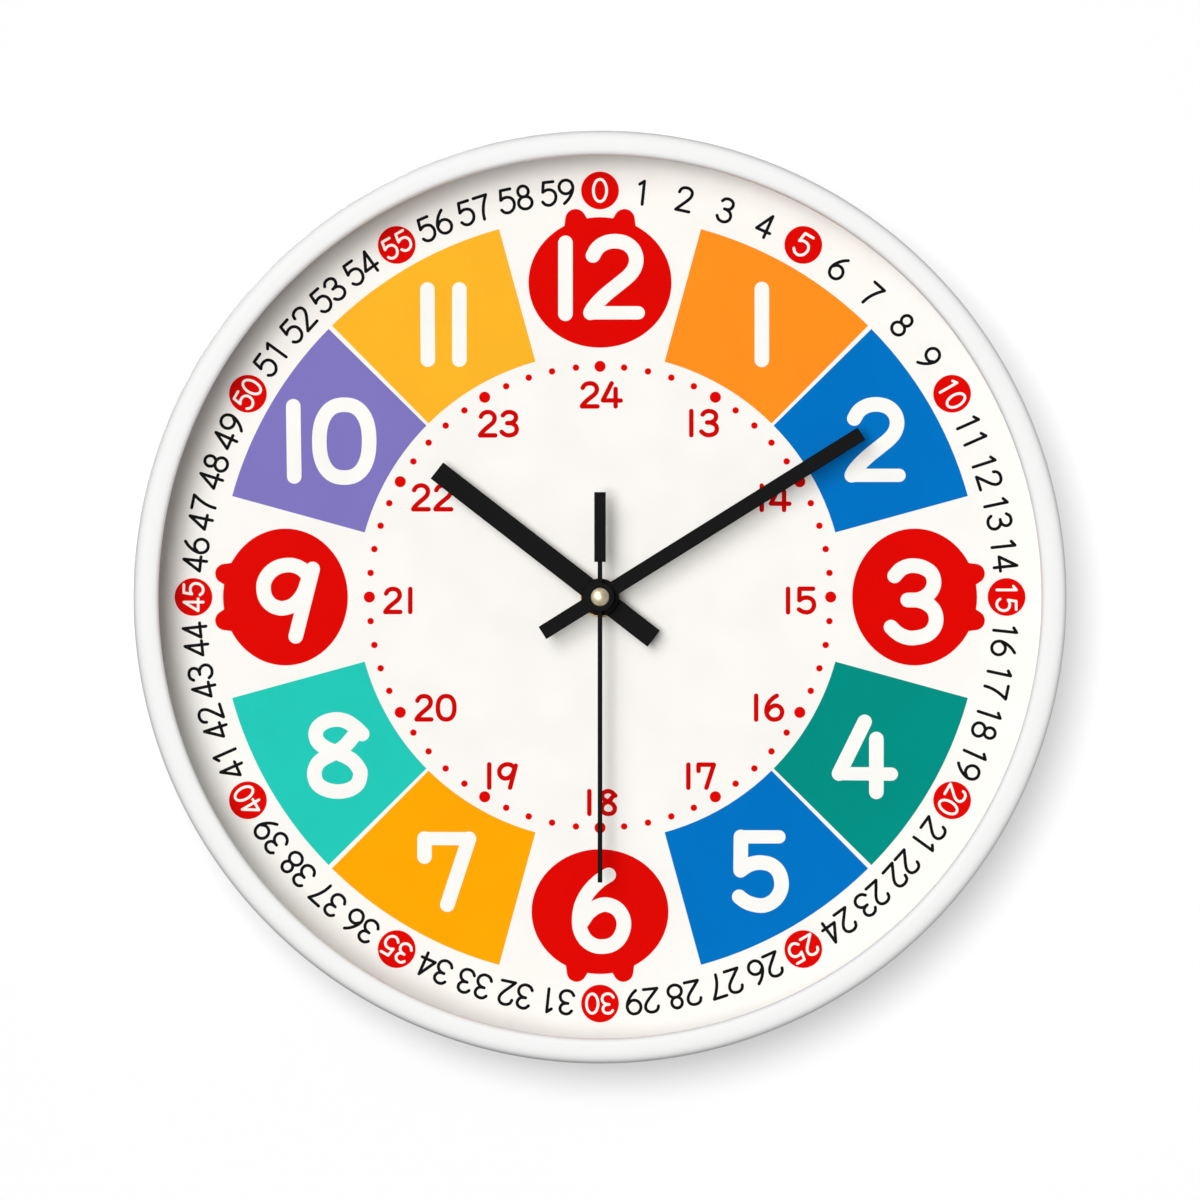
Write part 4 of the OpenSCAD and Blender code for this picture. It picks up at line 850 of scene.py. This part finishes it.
# The minute ring: the numbers turn with the angle, with their tops outwards. Those on the
# badges are smaller.
RING_R = 131.3
for minute in range(60):
    text, on_badge = str(minute), minute % 5 == 0
    if not on_badge:
        pitch, size, pen = 18.0, 1.0, 3.15
    elif len(text) == 1:
        pitch, size, pen = 0, 0.96, 2.7
    else:
        pitch, size, pen = 15.6, 0.84, 2.6
    strokes = []
    for i, digit in enumerate(text):
        strokes += moved(THIN_GLYPHS[digit], (i - (len(text) - 1) / 2) * pitch, 0, size)
    angle = 6 * minute
    centre = (RING_R * math.sin(math.radians(angle)), RING_R * math.cos(math.radians(angle)))
    sheet = white_minutes if on_badge else black_minutes
    sheet.add(draw_glyph(strokes, pen, step=1.0), placer(centre, turn=angle))
black_minutes.finish()
white_minutes.finish()


# Hands: stamped bars with a narrow bevel all round the face

def rotate_clockwise(p, angle):
    c, s = math.cos(math.radians(angle)), math.sin(math.radians(angle))
    return (c * p[0] + s * p[1], -s * p[0] + c * p[1])


def outline_of(bars, boss_r):
    """The outline of bars on the y axis with a round boss, anticlockwise. Bars are (y from,
    y to, half width), from the tail to the tip, and two of them meet at the axis."""
    below = next(h for _, y1, h in bars if y1 == 0)
    above = next(h for y0, _, h in bars if y0 == 0)
    low, high = -math.degrees(math.acos(below / boss_r)), math.degrees(math.acos(above / boss_r))
    corners = [(h, y) for y0, y1, h in bars for y in (y0, y1) if math.hypot(h, y) > boss_r]
    right = [(x, y) for x, y in corners if y < 0]
    right += arc(0, 0, boss_r, boss_r, low, high, 40)
    right += [(x, y) for x, y in corners if y > 0]
    return right + [(-x, y) for x, y in reversed(right)]


def inset(outline, d):
    """The outline moved inwards by d. A corner sharper than about 40 degrees moves less far."""
    sharpest = 0.35
    out, n = [], len(outline)
    for i in range(n):
        a, b, c = (Vector(outline[k]) for k in (i - 1, i, (i + 1) % n))
        before = Vector((-(b - a).y, (b - a).x)).normalized()
        after = Vector((-(c - b).y, (c - b).x)).normalized()
        middle = (before + after).normalized()
        out.append(tuple(b + middle * d / max(sharpest, middle.dot(before))))
    return out


# The numbers of a hand's two materials: painted faces, and painted shade on edges and collars
FACE, EDGE_SHADE = 0, 1


def flat_part(outline, hole_r, z0, z1, bevel, angle):
    """A plate with a bevelled face and a round hole. Returns verts, faces, face materials."""
    sides, bevel_slope = 48, 1.5
    hole = arc(0, 0, hole_r, hole_r, 0, 360 - 360 / sides, sides - 1)
    loops = [(outline, z0), (outline, z1 - bevel), (inset(outline, bevel * bevel_slope), z1)]
    verts, faces, kinds = [], [], []
    n, h = len(outline), len(hole)
    for loop, z in loops:
        verts += [(*p, z) for p in loop]
    for k in (0, 1):
        for i in range(n):
            j = (i + 1) % n
            faces.append((k * n + i, k * n + j, (k + 1) * n + j, (k + 1) * n + i))
            kinds.append(EDGE_SHADE)
    base = len(verts)
    verts += [(*p, z1) for p in hole] + [(*p, z0) for p in hole]
    for i in range(h):
        j = (i + 1) % h
        faces.append((base + j, base + i, base + h + i, base + h + j))
        kinds.append(EDGE_SHADE)
    # The top and the back between the outline and the hole
    for first_of_loop, first_of_hole, up in ((2 * n, base, True), (0, base + h, False)):
        flat = [Vector(verts[first_of_loop + i][:2]) for i in range(n)] + [Vector(p) for p in hole]
        edges = [(i, (i + 1) % n) for i in range(n)]
        edges += [(n + i, n + (i + 1) % h) for i in range(h)]
        v, _, f, given, _, _ = delaunay_2d_cdt(flat, edges, [], 3, 1e-6)
        index = {}
        for new, olds in enumerate(given):
            if olds:
                old = olds[0]
                index[new] = first_of_loop + old if old < n else first_of_hole + old - n
        for t in f:
            if any(i not in index for i in t):
                continue
            # A triangle inside the hole is left out
            middle = sum((v[i] for i in t), Vector((0, 0))) / len(t)
            if len(t) > 3 or middle.length > hole_r * 0.999:
                order = [index[i] for i in t]
                ccw = sum(v[t[i]].cross(v[t[(i + 1) % len(t)]]) for i in range(len(t))) > 0
                faces.append(tuple(order if ccw == up else reversed(order)))
                kinds.append(FACE)
    verts = [(*rotate_clockwise(p[:2], angle), p[2]) for p in verts]
    return verts, faces, kinds


def tube(r_out, r_in, z0, z1):
    return lathe([(r_out, z0), (r_out, z1), (r_in, z1), (r_in, z0)], 64)


def joined(*parts):
    """Puts (verts, faces, materials) together, with one material or a list of one per face."""
    verts, faces, kinds = [], [], []
    for v, f, k in parts:
        base = len(verts)
        verts += v
        faces += [tuple(base + i for i in q) for q in f]
        kinds += k if isinstance(k, list) else [k] * len(f)
    return verts, faces, kinds


def hand_piece(node, body, *parts):
    verts, faces, kinds = joined(*parts)
    return make_piece(node + "_plate", verts, faces, [HAND_PAINT, HAND_EDGE_SHADE], body, kinds,
                      smooth_angle=25, replaces=[node])


# How thick the hands' sheet is, in mm
HAND_SHEET = 0.5


def make_bar_hand(node, body, angle, length, half_w, hole_r, collar_r):
    """The hour or the minute hand: a bar with a round boss, on a collar."""
    tail, boss_r, bevel = 21.9, 6.0, 0.12
    top = level(node, 0)
    plate = flat_part(outline_of([(-tail, 0, half_w), (0, length, half_w)], boss_r),
                      hole_r, top - HAND_SHEET, top, bevel, angle)
    collar = tube(collar_r, hole_r, level(node, 1), top - HAND_SHEET)
    return hand_piece(node, body, plate, (*collar, EDGE_SHADE))


def make_second_hand():
    """A rod with a counterweight, and a turned boss with a groove round the cap."""
    weight_end, weight_h, rod_end, rod_h, rod_length, root_r = -33.8, 1.85, -11.3, 0.75, 92, 2.2
    hole_r, collar_r, edge_r, cap_r, bevel = 0.5, 1.4, 4.6, 2.95, 0.1
    boss_h, round_r, groove_w, groove_h, lip = 0.8, 0.25, 0.35, 0.2, 0.07
    top = level("second_hand", 0)
    rod_top = top - 0.3
    bars = [(weight_end, rod_end, weight_h), (rod_end, 0, rod_h), (0, rod_length, rod_h)]
    plate = flat_part(outline_of(bars, root_r), hole_r, rod_top - HAND_SHEET, rod_top, bevel,
                      SECOND_ANGLE)
    profile = [(hole_r, top - boss_h), (edge_r - bevel, top - boss_h),
               (edge_r, top - boss_h + bevel), (edge_r, top - round_r)]
    profile += arc(edge_r - round_r, top - round_r, round_r, round_r, 0, 90, 5)[1:]
    profile += [(cap_r + groove_w + lip, top), (cap_r + groove_w, top - lip),
                (cap_r + groove_w, top - groove_h), (cap_r, top - groove_h), (cap_r, top),
                (hole_r, top)]
    boss = lathe(profile, 96)
    collar = tube(collar_r, hole_r, level("second_hand", 1), top - boss_h)
    return hand_piece("second_hand", "seconds", plate, (*boss, FACE), (*collar, EDGE_SHADE))


hands = (make_bar_hand("hour_hand", "hours", HOUR_ANGLE, 66.6, 3.3, 2.5, 3.4),
         make_bar_hand("minute_hand", "minutes", MINUTE_ANGLE, 99.4, 2.35, 1.6, 2.5),
         make_second_hand())


# The wall behind the clock, seen from its front only, so that views from behind show the back

def make_wall():
    t = Tree("wall_paint")
    t.join(t.mix(t.range(t.noise(3, 3), 0, 1), (0.918, 0.918, 0.918), (0.923, 0.923, 0.923)),
           t.shader.inputs["Base Color"])
    t.set(Roughness=0.9, Specular_IOR_Level=0.0)
    side = t.add("NewGeometry")
    see = t.add("BsdfTransparent")
    mixer = t.add("MixShader")
    t.join(side.outputs["Backfacing"], mixer.inputs[0])
    t.join(t.shader.outputs[0], mixer.inputs[1])
    t.join(see.outputs[0], mixer.inputs[2])
    t.join(mixer.outputs[0], t.output.inputs["Surface"])
    mesh = bpy.data.meshes.new("wall")
    behind, half = 0.2 * MM, 4.0
    corners = [(x, behind, z) for x, z in ((-half, -half), (half, -half), (half, half),
                                           (-half, half))]
    mesh.from_pydata(corners, [], [(0, 1, 2, 3)])
    mesh.materials.append(t.material)
    wall = bpy.data.objects.new("wall", mesh)
    bpy.context.scene.collection.objects.link(wall)
    wall.visible_shadow = False
    wall.visible_diffuse = False
    wall.visible_glossy = False
    return wall


light_the_scene(make_wall(), case, hands)
